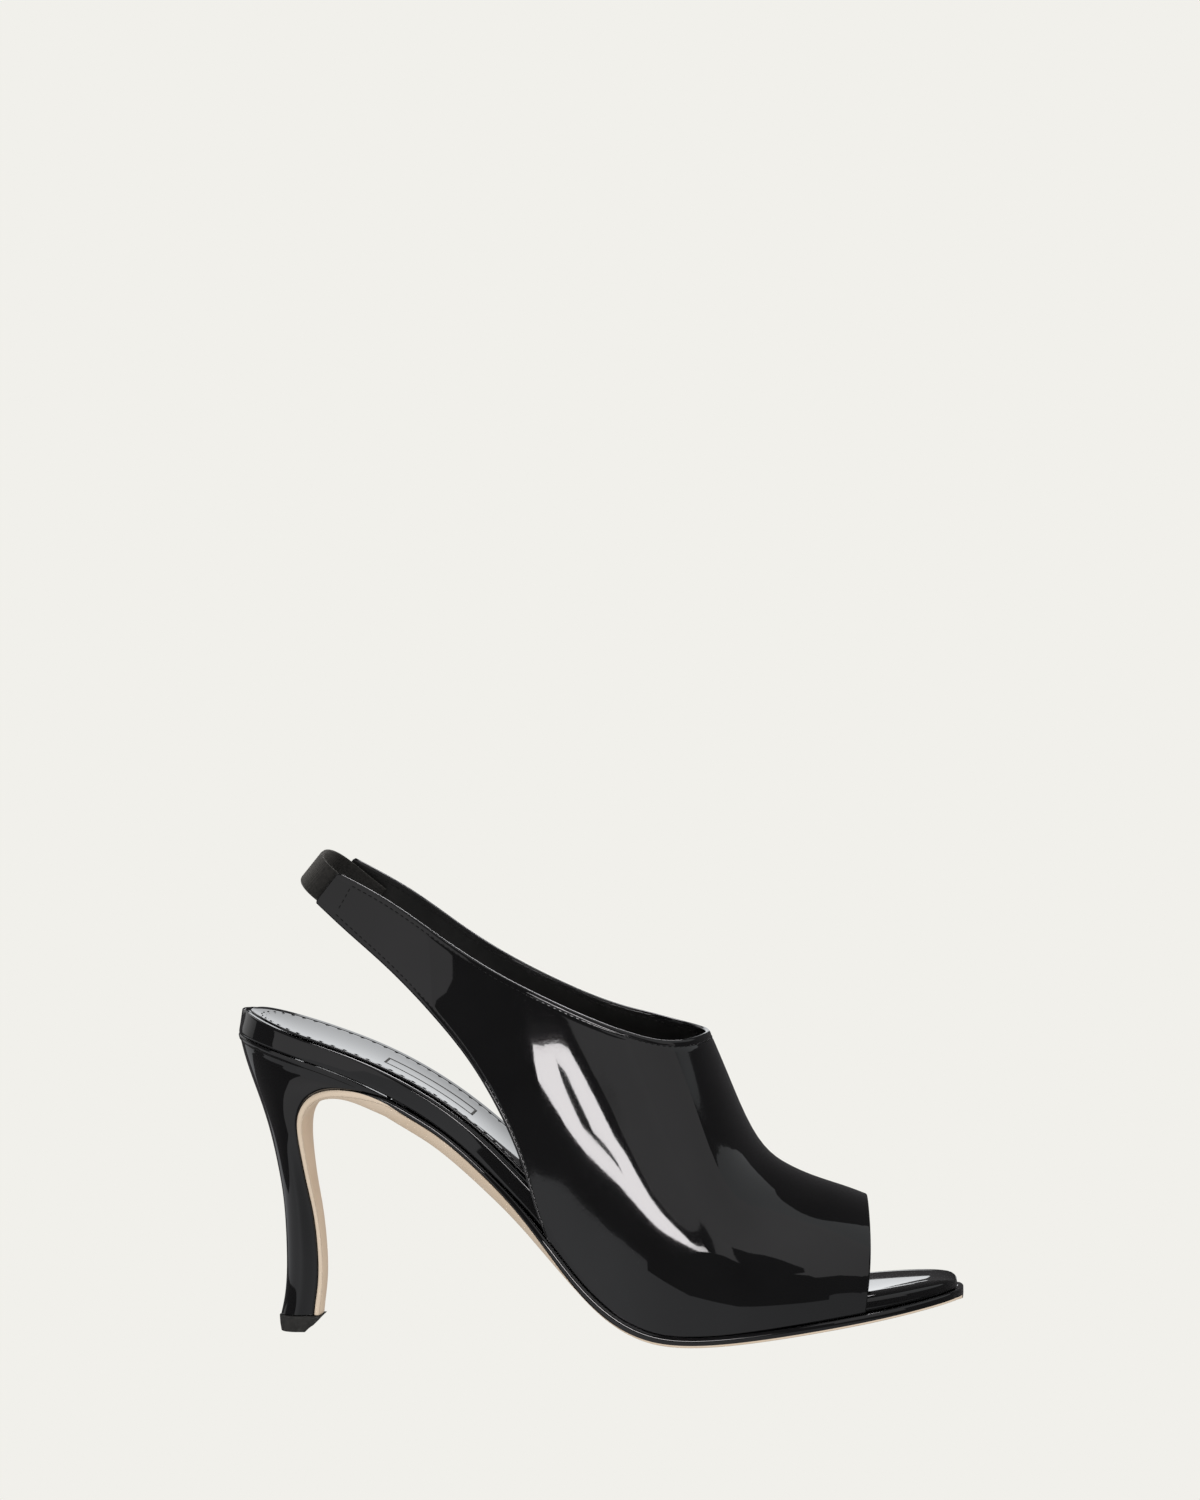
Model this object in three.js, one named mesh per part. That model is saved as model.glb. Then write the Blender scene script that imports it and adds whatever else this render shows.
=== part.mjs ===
// A high-heeled peep-toe slingback sandal, right shoe, about EU 37.
// Millimetres. +X to the toe, +Y to the medial side, +Z up.
// The origin is on the floor at the centre of the forefoot's flat spot.
import * as THREE from "three";

// Driving sizes along the shoe, measured on the floor plan from the tread's centre
const treadToHeel = 139.5;
const treadToToe = 77.5;

// Driving heights
const heelRise = 87.4;
const toeSpring = 10.4;
const throatRise = 88.3;
const strapRise = 137.2;

// Driving widths
const ballWidth = 73.6;
const waistWidth = 43;
const seatWidth = 48;
const strapSpan = 44.6;

// Thicknesses and fits
const soleThickness = 3.6;
const boardThickness = 6.3;
const sockThickness = 0.7;
const upperWall = 1.5;
const fitGap = 0.3;
const soleLip = 1.1;
const sockInset = 1.7;

// Heel
const topPieceHeight = 5;
const topPieceWidth = 12;

// Back elastic
const elasticWidth = 10.5;
const elasticThickness = 1.2;
const elasticTuck = 13;
const elasticReach = 7.9;

const floor = 0;
const keelBase = soleThickness + fitGap;

const mix = (a, b, t) => a + (b - a) * t;
const clamp01 = (t) => Math.min(1, Math.max(0, t));
const smooth = (from, to, x) => {
  const t = clamp01((x - from) / (to - from));
  return t * t * t * (t * (6 * t - 15) + 10);
};

// Natural cubic spline through rows [x, y], x rising
function spline(rows) {
  const n = rows.length;
  const x = rows.map((row) => row[0]);
  const y = rows.map((row) => row[1]);
  const bend = new Array(n).fill(0);
  const carry = new Array(n).fill(0);
  for (let i = 1; i < n - 1; i++) {
    const left = x[i] - x[i - 1];
    const right = x[i + 1] - x[i];
    const share = left / (left + right);
    const pivot = share * bend[i - 1] + 2;
    const slope = (y[i + 1] - y[i]) / right - (y[i] - y[i - 1]) / left;
    bend[i] = (share - 1) / pivot;
    carry[i] = ((6 * slope) / (left + right) - share * carry[i - 1]) / pivot;
  }
  bend[n - 1] = 0;
  for (let i = n - 2; i >= 0; i--) bend[i] = bend[i] * bend[i + 1] + carry[i];
  return (at) => {
    let i = 0;
    while (i < n - 2 && at > x[i + 1]) i++;
    const span = x[i + 1] - x[i];
    const b = clamp01((at - x[i]) / span);
    const a = 1 - b;
    const curve = (a * a * a - a) * bend[i] + (b * b * b - b) * bend[i + 1];
    return a * y[i] + b * y[i + 1] + (curve * span * span) / 6;
  };
}

// Places along the shoe: shares of the way to the heel are negative, to the toe positive
const along = (share) => (share < 0 ? share * treadToHeel : share * treadToToe);

// The keel is the underside of the insole board in side view.
// at: share along the shoe, rise: share of the heel's rise, spring: share of the toe's rise
const keelRows = [
  { at: -1.0, rise: 1.0, spring: 0 },
  { at: -0.87, rise: 0.937, spring: 0 },
  { at: -0.74, rise: 0.862, spring: 0 },
  { at: -0.62, rise: 0.767, spring: 0 },
  { at: -0.51, rise: 0.648, spring: 0 },
  { at: -0.42, rise: 0.522, spring: 0 },
  { at: -0.33, rise: 0.375, spring: 0 },
  { at: -0.24, rise: 0.2, spring: 0 },
  { at: -0.16, rise: 0.081, spring: 0 },
  { at: -0.08, rise: 0.017, spring: 0 },
  { at: 0, rise: 0, spring: 0 },
  { at: 0.2, rise: 0, spring: 0.09 },
  { at: 0.45, rise: 0, spring: 0.34 },
  { at: 0.72, rise: 0, spring: 0.65 },
  { at: 1.0, rise: 0, spring: 1.0 },
];
const keelHeight = spline(
  keelRows.map((r) => [along(r.at), keelBase + r.rise * heelRise + r.spring * toeSpring]),
);

// Half-widths of the board to each side of the middle, as shares of half of the named width
const widthRows = [
  { at: -1.0, of: seatWidth, lateral: 1.0, medial: 1.0 },
  { at: -0.82, of: seatWidth, lateral: 1.0, medial: 1.0 },
  { at: -0.68, of: seatWidth, lateral: 0.985, medial: 0.96 },
  { at: -0.56, of: waistWidth, lateral: 1.1, medial: 0.96 },
  { at: -0.46, of: waistWidth, lateral: 1.19, medial: 0.93 },
  { at: -0.36, of: ballWidth, lateral: 0.79, medial: 0.61 },
  { at: -0.25, of: ballWidth, lateral: 0.9, medial: 0.76 },
  { at: -0.14, of: ballWidth, lateral: 0.98, medial: 0.9 },
  { at: -0.03, of: ballWidth, lateral: 1.0, medial: 0.98 },
  { at: 0.16, of: ballWidth, lateral: 0.985, medial: 1.0 },
  { at: 1.0, of: ballWidth, lateral: 0.97, medial: 1.0 },
];
const widthOf = {
  lateral: spline(widthRows.map((r) => [along(r.at), (r.lateral * r.of) / 2])),
  medial: spline(widthRows.map((r) => [along(r.at), (r.medial * r.of) / 2])),
};
const toeRoundFrom = along(0.14);
const toeFullness = { lateral: 2.15, medial: 2.5 };
const toeLean = 3;

// The rounding of an outline's end: 0 at the tip, 1 from the reach on
const endRound = (distance, reach, power) =>
  Math.pow(1 - Math.pow(1 - clamp01(distance / reach), power), 1 / power);

// Half-width of the board, grown all round by an amount
function halfWidth(side, x, grow = 0) {
  const seat = endRound(x + treadToHeel + grow, seatWidth / 2 + grow, 2);
  const toe = endRound(treadToToe + grow - x, treadToToe + grow - toeRoundFrom, toeFullness[side]);
  return (widthOf[side](x) + grow) * seat * toe;
}
const middle = (x) => toeLean * Math.pow(clamp01((x - toeRoundFrom) / (treadToToe - toeRoundFrom)), 2);

// Point, forward direction and up direction of the keel at x
function keelFrame(x) {
  const step = 0.5;
  const rise = keelHeight(x + step) - keelHeight(x - step);
  const forward = new THREE.Vector2(2 * step, rise).normalize();
  return { x, z: keelHeight(x), forward, up: new THREE.Vector2(-forward.y, forward.x) };
}

// A point seen from a keel frame: so far up from the keel, so far to the side
const placed = (frame, side, up) =>
  new THREE.Vector3(frame.x + frame.up.x * up, side, frame.z + frame.up.y * up);

// Stations between two places, closer together toward both ends
function stations(from, to, count) {
  const list = [];
  for (let i = 0; i <= count; i++) list.push(mix(from, to, (1 - Math.cos((Math.PI * i) / count)) / 2));
  return list;
}

// A closed surface from points and triangles
function surface(points, faces) {
  const geometry = new THREE.BufferGeometry();
  const flat = points.flatMap((p) => [p.x, p.y, p.z]);
  geometry.setAttribute("position", new THREE.Float32BufferAttribute(flat, 3));
  geometry.setIndex(faces.flat());
  geometry.computeVertexNormals();
  return geometry;
}

// Skin over rings of equal count. A ring starts beside the middle on one side, and ends beside it on
// the other, so an end is closed by a ladder whose rungs join the two sides.
function loft(rings) {
  const count = rings[0].length;
  const points = rings.flat();
  const faces = [];
  const quad = (p, q, r, s) => faces.push([p, q, r], [p, r, s]);
  for (let k = 0; k < rings.length - 1; k++) {
    for (let i = 0; i < count; i++) {
      const j = (i + 1) % count;
      quad(k * count + i, (k + 1) * count + i, (k + 1) * count + j, k * count + j);
    }
  }
  const ladder = (base, turned) => {
    for (let i = 0; i < Math.floor(count / 2); i++) {
      const rung = [i, i + 1, count - 2 - i, count - 1 - i].map((n) => base + n);
      if (turned) rung.reverse();
      const [p, q, r, s] = rung;
      if (i + 1 < count - 2 - i) quad(p, q, r, s);
      else if (i + 1 === count - 2 - i) faces.push([...new Set(rung)]);
    }
  };
  ladder(0, false);
  ladder((rings.length - 1) * count, true);
  return surface(points, faces);
}

const part = new THREE.Group();
function add(name, geometry, colour, roughness, metalness = 0) {
  const material = new THREE.MeshStandardMaterial({ color: colour, roughness, metalness });
  const mesh = new THREE.Mesh(geometry, material);
  mesh.name = name;
  part.add(mesh);
}

// Insole board: flat below, a rounded wall, a slightly hollow top. Toward the toe it gets thinner
// and its upper edge rolls over more widely. wide and deep: how far the upper edge's roll reaches.
const boardDish = 1.1;
const boardLowerEdge = 0.9;
const boardRows = [
  { at: -1.0, thick: 1.19, wide: 1.4, deep: 0.9 },
  { at: -0.9, thick: 1.02, wide: 1.4, deep: 1.2 },
  { at: -0.75, thick: 1.0, wide: 1.5, deep: 1.3 },
  { at: -0.3, thick: 1.0, wide: 1.6, deep: 1.5 },
  { at: 0.3, thick: 0.9, wide: 3.6, deep: 2.2 },
  { at: 0.7, thick: 0.93, wide: 7.5, deep: 3.0 },
  { at: 1.0, thick: 0.74, wide: 8.0, deep: 2.9 },
];
const boardThick = spline(boardRows.map((r) => [along(r.at), r.thick * boardThickness]));
const edgeWide = spline(boardRows.map((r) => [along(r.at), r.wide]));
const edgeDeep = spline(boardRows.map((r) => [along(r.at), r.deep]));
const boardTips = { heel: -treadToHeel, toe: treadToToe };

// Height of the board's top above the keel, so far in from the wall
function boardTop(x, inset, half) {
  const toTip = Math.min(x - boardTips.heel, boardTips.toe - x);
  const roll = Math.min(endRound(toTip, edgeWide(x), 2), endRound(inset, edgeWide(x), 2));
  const hollow = boardDish * (1 - Math.pow(1 - clamp01(inset / half), 2));
  return boardThick(x) - edgeDeep(x) * (1 - roll) - hollow;
}

function boardRing(x) {
  const frame = keelFrame(x);
  const reach = { lateral: halfWidth("lateral", x), medial: halfWidth("medial", x) };
  const sides = { lateral: [], medial: [] };
  for (const side of ["lateral", "medial"]) {
    const half = reach[side];
    const point = (inset, up) =>
      placed(frame, middle(x) + (side === "lateral" ? inset - half : half - inset), up);
    const roll = Math.min(edgeWide(x), 0.6 * half);
    sides[side].push(point(0.5 * half, 0), point(Math.min(boardLowerEdge, 0.1 * half), 0));
    sides[side].push(point(0, boardLowerEdge));
    for (const angle of [0, 28, 56, 90]) {
      const inset = roll * (1 - Math.cos((angle * Math.PI) / 180));
      sides[side].push(point(inset, boardTop(x, inset, half)));
    }
    sides[side].push(point(mix(roll, half, 0.45), boardTop(x, mix(roll, half, 0.45), half)));
  }
  const centre = placed(frame, middle(x), boardTop(x, Math.min(reach.lateral, reach.medial), reach.lateral));
  return [...sides.lateral, centre, ...sides.medial.reverse()];
}
const tipCut = 0.12;
const boardStations = stations(-treadToHeel + tipCut, treadToToe - tipCut, 46);
add("insole_board", loft(boardStations.map(boardRing)), 0x0b0b0c, 0.2);

// Sock: a thin lining on the board's top, from the heel to a straight edge under the vamp
const sockFront = along(0.1);
const sockGap = 1.2 * fitGap;
function sockRing(x) {
  const frame = keelFrame(x);
  const sides = { lateral: [], medial: [] };
  for (const side of ["lateral", "medial"]) {
    const full = halfWidth(side, x);
    const half = halfWidth(side, x, -sockInset);
    const point = (share, up) => {
      const y = share * half;
      return placed(frame, middle(x) + (side === "lateral" ? -y : y), boardTop(x, full - y, full) + up);
    };
    const rim = 0.35;
    sides[side].push(point(0.5, sockGap), point(1, sockGap));
    sides[side].push(point(1, sockGap + sockThickness - rim), point(0.985, sockGap + sockThickness));
    sides[side].push(point(0.6, sockGap + sockThickness));
  }
  const full = halfWidth("lateral", x);
  const centre = placed(frame, middle(x), boardTop(x, full, full) + sockGap + sockThickness);
  return [...sides.lateral, centre, ...sides.medial.reverse()];
}
add(
  "sock",
  loft(stations(-treadToHeel + sockInset + tipCut, sockFront, 36).map(sockRing)),
  0x101012,
  0.25,
);

// The heel's breast in side view, from its upper end under the board, round the corner and down to
// the top piece. at: share of the way to the heel, rise: share of the heel's rise,
// half: half-width as a share of half of the seat's width,
// edge, crown: the leather on it, as in the sole's rows below
const breastRows = [
  { at: -0.618, rise: 0.768, half: 0.965, edge: 2.0, crown: 6.0 },
  { at: -0.66, rise: 0.795, half: 0.955, edge: 2.0, crown: 5.7 },
  { at: -0.705, rise: 0.814, half: 0.94, edge: 2.0, crown: 4.7 },
  { at: -0.75, rise: 0.823, half: 0.91, edge: 2.0, crown: 3.1 },
  { at: -0.79, rise: 0.82, half: 0.86, edge: 2.0, crown: 2.0 },
  { at: -0.825, rise: 0.8, half: 0.79, edge: 1.9, crown: 1.3 },
  { at: -0.85, rise: 0.762, half: 0.7, edge: 1.75, crown: 0.9 },
  { at: -0.864, rise: 0.71, half: 0.6, edge: 1.6, crown: 0.7 },
  { at: -0.866, rise: 0.65, half: 0.5, edge: 1.5, crown: 0.5 },
  { at: -0.861, rise: 0.578, half: 0.41, edge: 1.4, crown: 0.3 },
  { at: -0.851, rise: 0.48, half: 0.335, edge: 1.3, crown: 0.2 },
  { at: -0.8395, rise: 0.385, half: 0.285, edge: 1.25, crown: 0.2 },
  { at: -0.832, rise: 0.29, half: 0.258, edge: 1.3, crown: 0.2 },
  { at: -0.829, rise: 0.2, half: 0.247, edge: 1.4, crown: 0.2 },
  { at: -0.831, rise: 0.12, half: 0.243, edge: 1.5, crown: 0.3 },
  { at: -0.837, rise: 0.05, half: 0.241, edge: 1.6, crown: 0.4 },
  { at: -0.84, rise: 0, half: 0.241, edge: 1.6, crown: 0.4 },
];
const tipTop = topPieceHeight + fitGap;
const seatGap = 1.3 * fitGap;
const seatAt = (x) => keelHeight(x) - seatGap;
const waistInset = 0.5;
const breastTurn = 6;
const breast = breastRows.map((r, k) => {
  const x = r.at * treadToHeel;
  const z = Math.min(seatAt(x), Math.max(tipTop, keelBase + r.rise * heelRise));
  const shaft = (r.half * seatWidth) / 2;
  const half = (side) => mix(halfWidth(side, x) - waistInset, shaft, smooth(0, breastTurn, k));
  return { ...r, x, z, lateral: half("lateral"), medial: half("medial") };
});

// The heel's back and its rounding. up: share of the way from top piece to seat,
// at: share of the way to the heel, round: share of half of the seat's width, half: as above
const backRows = [
  { up: 0, at: 0.914, round: 0.25, half: 0.26 },
  { up: 0.05, at: 0.9075, round: 0.25, half: 0.258 },
  { up: 0.13, at: 0.902, round: 0.25, half: 0.262 },
  { up: 0.22, at: 0.9008, round: 0.26, half: 0.275 },
  { up: 0.33, at: 0.9025, round: 0.27, half: 0.3 },
  { up: 0.43, at: 0.9068, round: 0.29, half: 0.335 },
  { up: 0.55, at: 0.918, round: 0.33, half: 0.4 },
  { up: 0.67, at: 0.934, round: 0.42, half: 0.51 },
  { up: 0.76, at: 0.9505, round: 0.54, half: 0.65 },
  { up: 0.84, at: 0.9685, round: 0.69, half: 0.79 },
  { up: 0.92, at: 0.986, round: 0.85, half: 0.91 },
  { up: 1.0, at: 0.999, round: 0.99, half: 0.985 },
];
const backOf = spline(backRows.map((r) => [r.up, -r.at * treadToHeel]));
const roundOf = spline(backRows.map((r) => [r.up, (r.round * seatWidth) / 2]));
const halfOf = spline(backRows.map((r) => [r.up, (r.half * seatWidth) / 2]));

const sideSteps = 11;

// A D-shaped ring: round at the back, straight across the front. limit: the widest it may be at x
function heelOutline(back, front, shape, height, limit = () => Infinity) {
  const point = (side, i) => {
    const x = front + (back - front) * Math.sin((Math.PI * i) / sideSteps / 2);
    const share = (front - x) / (front - back);
    const half = mix(shape.front[side], shape.half, smooth(0, 0.6, share));
    const y = Math.min(half * endRound(x - back, shape.round, 2), limit(side, x));
    return new THREE.Vector3(x, side === "lateral" ? -y : y, height(x));
  };
  const steps = [...Array(sideSteps + 1).keys()];
  const lateral = steps.map((i) => point("lateral", i));
  const medial = steps.slice(0, -1).map((i) => point("medial", i));
  return [...lateral, ...medial.reverse()];
}
const seatInset = 0.35;
const heelRings = [...breast].reverse().map((row) => {
  const up = clamp01((row.z - tipTop) / (seatAt(row.x) - tipTop));
  const half = Math.max(row.lateral, halfOf(up));
  const shape = { half, front: row, round: roundOf(up) };
  const height = (x) => tipTop + up * (seatAt(x) - tipTop);
  const limit = (side, x) => Math.max(0, halfWidth(side, Math.max(x, -treadToHeel + 1e-3)) - seatInset);
  return heelOutline(backOf(up), row.x, shape, height, limit);
});
add("heel", loft(heelRings), 0x0a0a0b, 0.18);

// Top piece: flat on the floor, its front bevelled upward
const tipBack = -0.9175 * treadToHeel;
const tipFront = -0.8195 * treadToHeel;
const tipBevel = 5.4;
const topPieceRows = [
  { height: floor, back: 0.5, bevel: 1.0, half: 0.93 },
  { height: 0.45 * topPieceHeight, back: 0.15, bevel: 0.5, half: 0.98 },
  { height: topPieceHeight, back: 0, bevel: 0, half: 1.0 },
];
const topPieceRings = topPieceRows.map((r) => {
  const half = (r.half * topPieceWidth) / 2;
  const shape = { half, front: { lateral: 0.96 * half, medial: 0.96 * half }, round: half };
  return heelOutline(tipBack + r.back, tipFront - r.bevel * tipBevel, shape, () => r.height);
});
add("top_piece", loft(topPieceRings), 0x2c2b2a, 0.75);

// Outsole: under the keel from the toe to the heel, then down the heel's breast as a flap.
// edge: height of its upright edge, crown: how far its underside bulges below that, in mm
const soleRows = [
  { at: -0.62, edge: 2.0, crown: 6.0 },
  { at: -0.44, edge: 2.0, crown: 6.0 },
  { at: -0.3, edge: 2.1, crown: 4.8 },
  { at: -0.2, edge: 2.5, crown: 2.4 },
  { at: -0.1, edge: 2.9, crown: 1.1 },
  { at: 0.0, edge: 2.95, crown: 1.0 },
  { at: 0.4, edge: 2.9, crown: 0.9 },
  { at: 1.03, edge: 2.6, crown: 0.6 },
];
const edgeOf = spline(soleRows.map((r) => [along(r.at), r.edge]));
const crownOf = spline(soleRows.map((r) => [along(r.at), r.crown]));
const wedgeReach = 14;
const soleTip = treadToToe + 1.8;

// How far the sole stands out beyond the board: none at the waist, a lip round the upper
function soleGrow(x) {
  const lip = mix(fitGap + upperWall + soleLip, soleTip - treadToToe, smooth(along(0.65), treadToToe, x));
  return mix(-waistInset, lip, smooth(along(-0.45), along(-0.27), x));
}

function soleStations() {
  const list = stations(soleTip - tipCut, breast[0].x, 40).map((x) => {
    const frame = keelFrame(x);
    const grow = soleGrow(x);
    const onHeel = smooth(breast[0].x + wedgeReach, breast[0].x, x);
    const top = placed(frame, 0, -fitGap - onHeel * seatGap * frame.forward.x);
    const half = { lateral: halfWidth("lateral", x, grow), medial: halfWidth("medial", x, grow) };
    const under = { edge: edgeOf(x), crown: crownOf(x), lowest: floor };
    return { x: top.x, z: top.z, half, mid: middle(x), ...under };
  });
  list.pop();
  breast.forEach((b, k) => {
    const before = breast[Math.max(0, k - 1)];
    const after = breast[Math.min(breast.length - 1, k + 1)];
    const away = new THREE.Vector2(before.z - after.z, after.x - before.x).normalize();
    list.push({
      x: b.x + away.x * fitGap,
      z: b.z + away.y * fitGap,
      half: { lateral: b.lateral, medial: b.medial },
      mid: 0,
      edge: b.edge,
      crown: b.crown,
      lowest: tipTop,
    });
  });
  return list;
}

function soleRing(list, k) {
  const here = list[k];
  const before = list[Math.max(0, k - 1)];
  const after = list[Math.min(list.length - 1, k + 1)];
  const forward = new THREE.Vector2(before.x - after.x, before.z - after.z).normalize();
  const frame = { x: here.x, z: here.z, up: new THREE.Vector2(-forward.y, forward.x) };
  const point = (share, down) => {
    const side = share < 0 ? here.half.lateral : here.half.medial;
    const p = placed(frame, here.mid + share * side, -down);
    p.z = Math.max(here.lowest, p.z);
    return p;
  };
  const under = [-0.92, -0.75, -0.5, -0.25, 0, 0.25, 0.5, 0.75, 0.92].map((share) =>
    point(share, here.edge + here.crown * (1 - Math.pow(Math.abs(share), 2.4))),
  );
  const ends = (share) => [point(share, 0), point(share, here.edge)];
  return [point(-0.5, 0), ...ends(-1), ...under, ...ends(1).reverse(), point(0.5, 0)];
}
const soleList = soleStations();
add("outsole", loft(soleList.map((_, k) => soleRing(soleList, k))), 0xd9c9b4, 0.6);

// Upper, in sections across the shoe. Each rises from the keel to a crown.
// at: share along the shoe, rise: the crown's height as a share of the throat's rise,
// peak: how pointed the section is, 1 being an ellipse. Behind the throat the crown follows the leg.
const sectionRows = [
  { at: -0.82, rise: 3.32, peak: 1.7 },
  { at: -0.55, rise: 2.65, peak: 1.7 },
  { at: -0.32, rise: 2.05, peak: 1.74 },
  { at: -0.17, rise: 1.63, peak: 1.62 },
  { at: -0.07, rise: 1.318, peak: 1.42 },
  { at: -0.01, rise: 1.112, peak: 1.3 },
  { at: 0.0374, rise: 1.0, peak: 1.24 },
  { at: 0.095, rise: 0.879, peak: 1.2 },
  { at: 0.155, rise: 0.7485, peak: 1.14 },
  { at: 0.205, rise: 0.657, peak: 1.08 },
  { at: 0.265, rise: 0.585, peak: 1.02 },
  { at: 0.34, rise: 0.537, peak: 0.96 },
  { at: 0.45, rise: 0.494, peak: 0.9 },
  { at: 0.58, rise: 0.4555, peak: 0.85 },
  { at: 0.72, rise: 0.405, peak: 0.82 },
];
const crownAt = spline(sectionRows.map((r) => [along(r.at), keelBase + r.rise * throatRise]));
const peakAt = spline(sectionRows.map((r) => [along(r.at), r.peak]));
const throatAt = along(0.0374);
const swell = 1.5;
const strapSpread = 3.6;

// Widest half-width of a section: round the board in front, the width of the straps behind
function reachAt(side, x) {
  const strap = strapSpan / 2 + strapSpread * smooth(along(-0.8), along(-0.45), x);
  const round = halfWidth(side, x) + 1.4 * fitGap + upperWall + swell;
  return mix(strap, round, smooth(along(-0.74), along(-0.27), x));
}

// A point of the upper's outer face: turn goes from 0 at the lateral sole line to 1 at the medial one
function upperPoint(x, turn) {
  const side = turn < 0.5 ? "lateral" : "medial";
  const angle = Math.PI * turn;
  const lift = Math.sin(angle);
  const base = keelHeight(x);
  const tuck = swell * Math.pow(1 - lift, 3) * smooth(along(-0.5), along(-0.3), x);
  const y = -reachAt(side, x) * Math.cos(angle) + (turn < 0.5 ? tuck : -tuck);
  return new THREE.Vector3(x, middle(x) + y, base + (crownAt(x) - base) * Math.pow(lift, peakAt(x)));
}
function turnAt(x, z) {
  const base = keelHeight(x);
  const lift = Math.pow(clamp01((z - base) / (crownAt(x) - base)), 1 / peakAt(x));
  return Math.asin(lift) / Math.PI;
}
function upperNormal(x, turn) {
  const step = 1e-3;
  const low = Math.max(0, turn - step);
  const high = Math.min(1, turn + step);
  const across = upperPoint(x, high).sub(upperPoint(x, low));
  const ahead = upperPoint(x + 0.2, turn).sub(upperPoint(x - 0.2, turn));
  return ahead.cross(across).normalize();
}

// Topline, from the throat back to the strap's end.
// rise: share of the strap's rise, dip: how much lower the lateral side is, in mm
const strapTop = along(-0.764);
const toplineRows = [
  { at: -0.764, rise: 1.0088, dip: 1.2 },
  { at: -0.645, rise: 0.9405, dip: 0.9 },
  { at: -0.53, rise: 0.8594, dip: 0.6 },
  { at: -0.42, rise: 0.7911, dip: 0.7 },
  { at: -0.33, rise: 0.7428, dip: 0.25 },
  { at: -0.245, rise: 0.704, dip: 0.2 },
  { at: -0.165, rise: 0.677, dip: 0.9 },
  { at: -0.1, rise: 0.661, dip: 1.7 },
  { at: -0.05, rise: 0.651, dip: 1.6 },
];
const toplineOf = (side) =>
  spline([
    ...toplineRows.map((r) => [along(r.at), keelBase + r.rise * strapRise - (side === "lateral" ? r.dip : 0)]),
    [throatAt, crownAt(throatAt)],
  ]);
const topline = { lateral: toplineOf("lateral"), medial: toplineOf("medial") };

// Back edge, from the strap's end down to the corner at the sole
const strapFoot = along(-0.815);
const corner = along(-0.307);
const backEdgeRows = [
  { at: -0.815, rise: 0.936 },
  { at: -0.745, rise: 0.87 },
  { at: -0.675, rise: 0.808 },
  { at: -0.602, rise: 0.738 },
  { at: -0.53, rise: 0.659 },
  { at: -0.473, rise: 0.586 },
  { at: -0.423, rise: 0.505 },
  { at: -0.38, rise: 0.419 },
  { at: -0.351, rise: 0.343 },
  { at: -0.327, rise: 0.265 },
];
const backEdge = spline([
  ...backEdgeRows.map((r) => [along(r.at), keelBase + r.rise * strapRise]),
  [corner, keelHeight(corner)],
]);

// Toe opening, from the sole line over the toes
const toeEdge = { top: along(0.6565), skew: 3.9, cutBack: 2.0 };
function toeEdgeAt(turn) {
  const angle = Math.PI * turn;
  const cut = toeEdge.cutBack * Math.pow(1 - Math.sin(angle), 3);
  return toeEdge.top + toeEdge.skew * Math.cos(angle) - cut;
}

// One side of the upper's outline: pairs of places [x, turn], one on the topline and one on the edge
const sideSpans = [
  { cells: 16, from: 1.0, to: 0.33 },
  { cells: 14, from: 0.33, to: 0.11 },
  { cells: 10, from: 0.11, to: 0 },
];
const bow = 0.15;
const toplineX = (share) => {
  const run = (Math.hypot(share, bow) - bow) / (Math.hypot(1, bow) - bow);
  return mix(throatAt, strapTop, run);
};
function edgeAt(side, span, t) {
  const turned = (turn) => (side === "lateral" ? turn : 1 - turn);
  if (span === 0) {
    const x = mix(corner, strapFoot, Math.pow(1 - t, 1.35));
    return [x, turned(turnAt(x, backEdge(x)))];
  }
  if (span === 1) return [mix(corner, toeEdgeAt(turned(0)), t), turned(0)];
  return [toeEdgeAt(turned(t / 2)), turned(t / 2)];
}
function sideLines(side) {
  const lines = [];
  sideSpans.forEach((span, k) => {
    for (let i = k === 0 ? 0 : 1; i <= span.cells; i++) {
      const t = i / span.cells;
      const x = toplineX(mix(span.from, span.to, t));
      const turn = turnAt(x, topline[side](x));
      lines.push({ top: [x, side === "lateral" ? turn : 1 - turn], edge: edgeAt(side, k, t) });
    }
  });
  return lines;
}
const rows = 12;
function upperGeometry() {
  const lateral = sideLines("lateral");
  const medial = sideLines("medial").slice(0, -1).reverse();
  const lines = [...lateral, ...medial];
  const outer = [];
  const inner = [];
  for (const { top, edge } of lines) {
    for (let j = 0; j <= rows; j++) {
      const x = mix(top[0], edge[0], j / rows);
      const turn = mix(top[1], edge[1], j / rows);
      const point = upperPoint(x, turn);
      outer.push(point);
      inner.push(point.clone().addScaledVector(upperNormal(x, turn), -upperWall));
    }
  }
  const across = rows + 1;
  const shift = outer.length;
  const at = (i, j) => i * across + j;
  const faces = [];
  const quad = (p, q, r, s) => faces.push([p, q, r], [p, r, s]);
  for (let i = 0; i < lines.length - 1; i++) {
    for (let j = 0; j < rows; j++) {
      quad(at(i, j), at(i, j + 1), at(i + 1, j + 1), at(i + 1, j));
      quad(shift + at(i, j), shift + at(i + 1, j), shift + at(i + 1, j + 1), shift + at(i, j + 1));
    }
    quad(at(i, 0), at(i + 1, 0), shift + at(i + 1, 0), shift + at(i, 0));
    quad(at(i, rows), shift + at(i, rows), shift + at(i + 1, rows), at(i + 1, rows));
  }
  const last = lines.length - 1;
  for (let j = 0; j < rows; j++) {
    quad(at(0, j), shift + at(0, j), shift + at(0, j + 1), at(0, j + 1));
    quad(at(last, j), at(last, j + 1), shift + at(last, j + 1), shift + at(last, j));
  }
  return surface([...outer, ...inner], faces);
}
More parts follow.
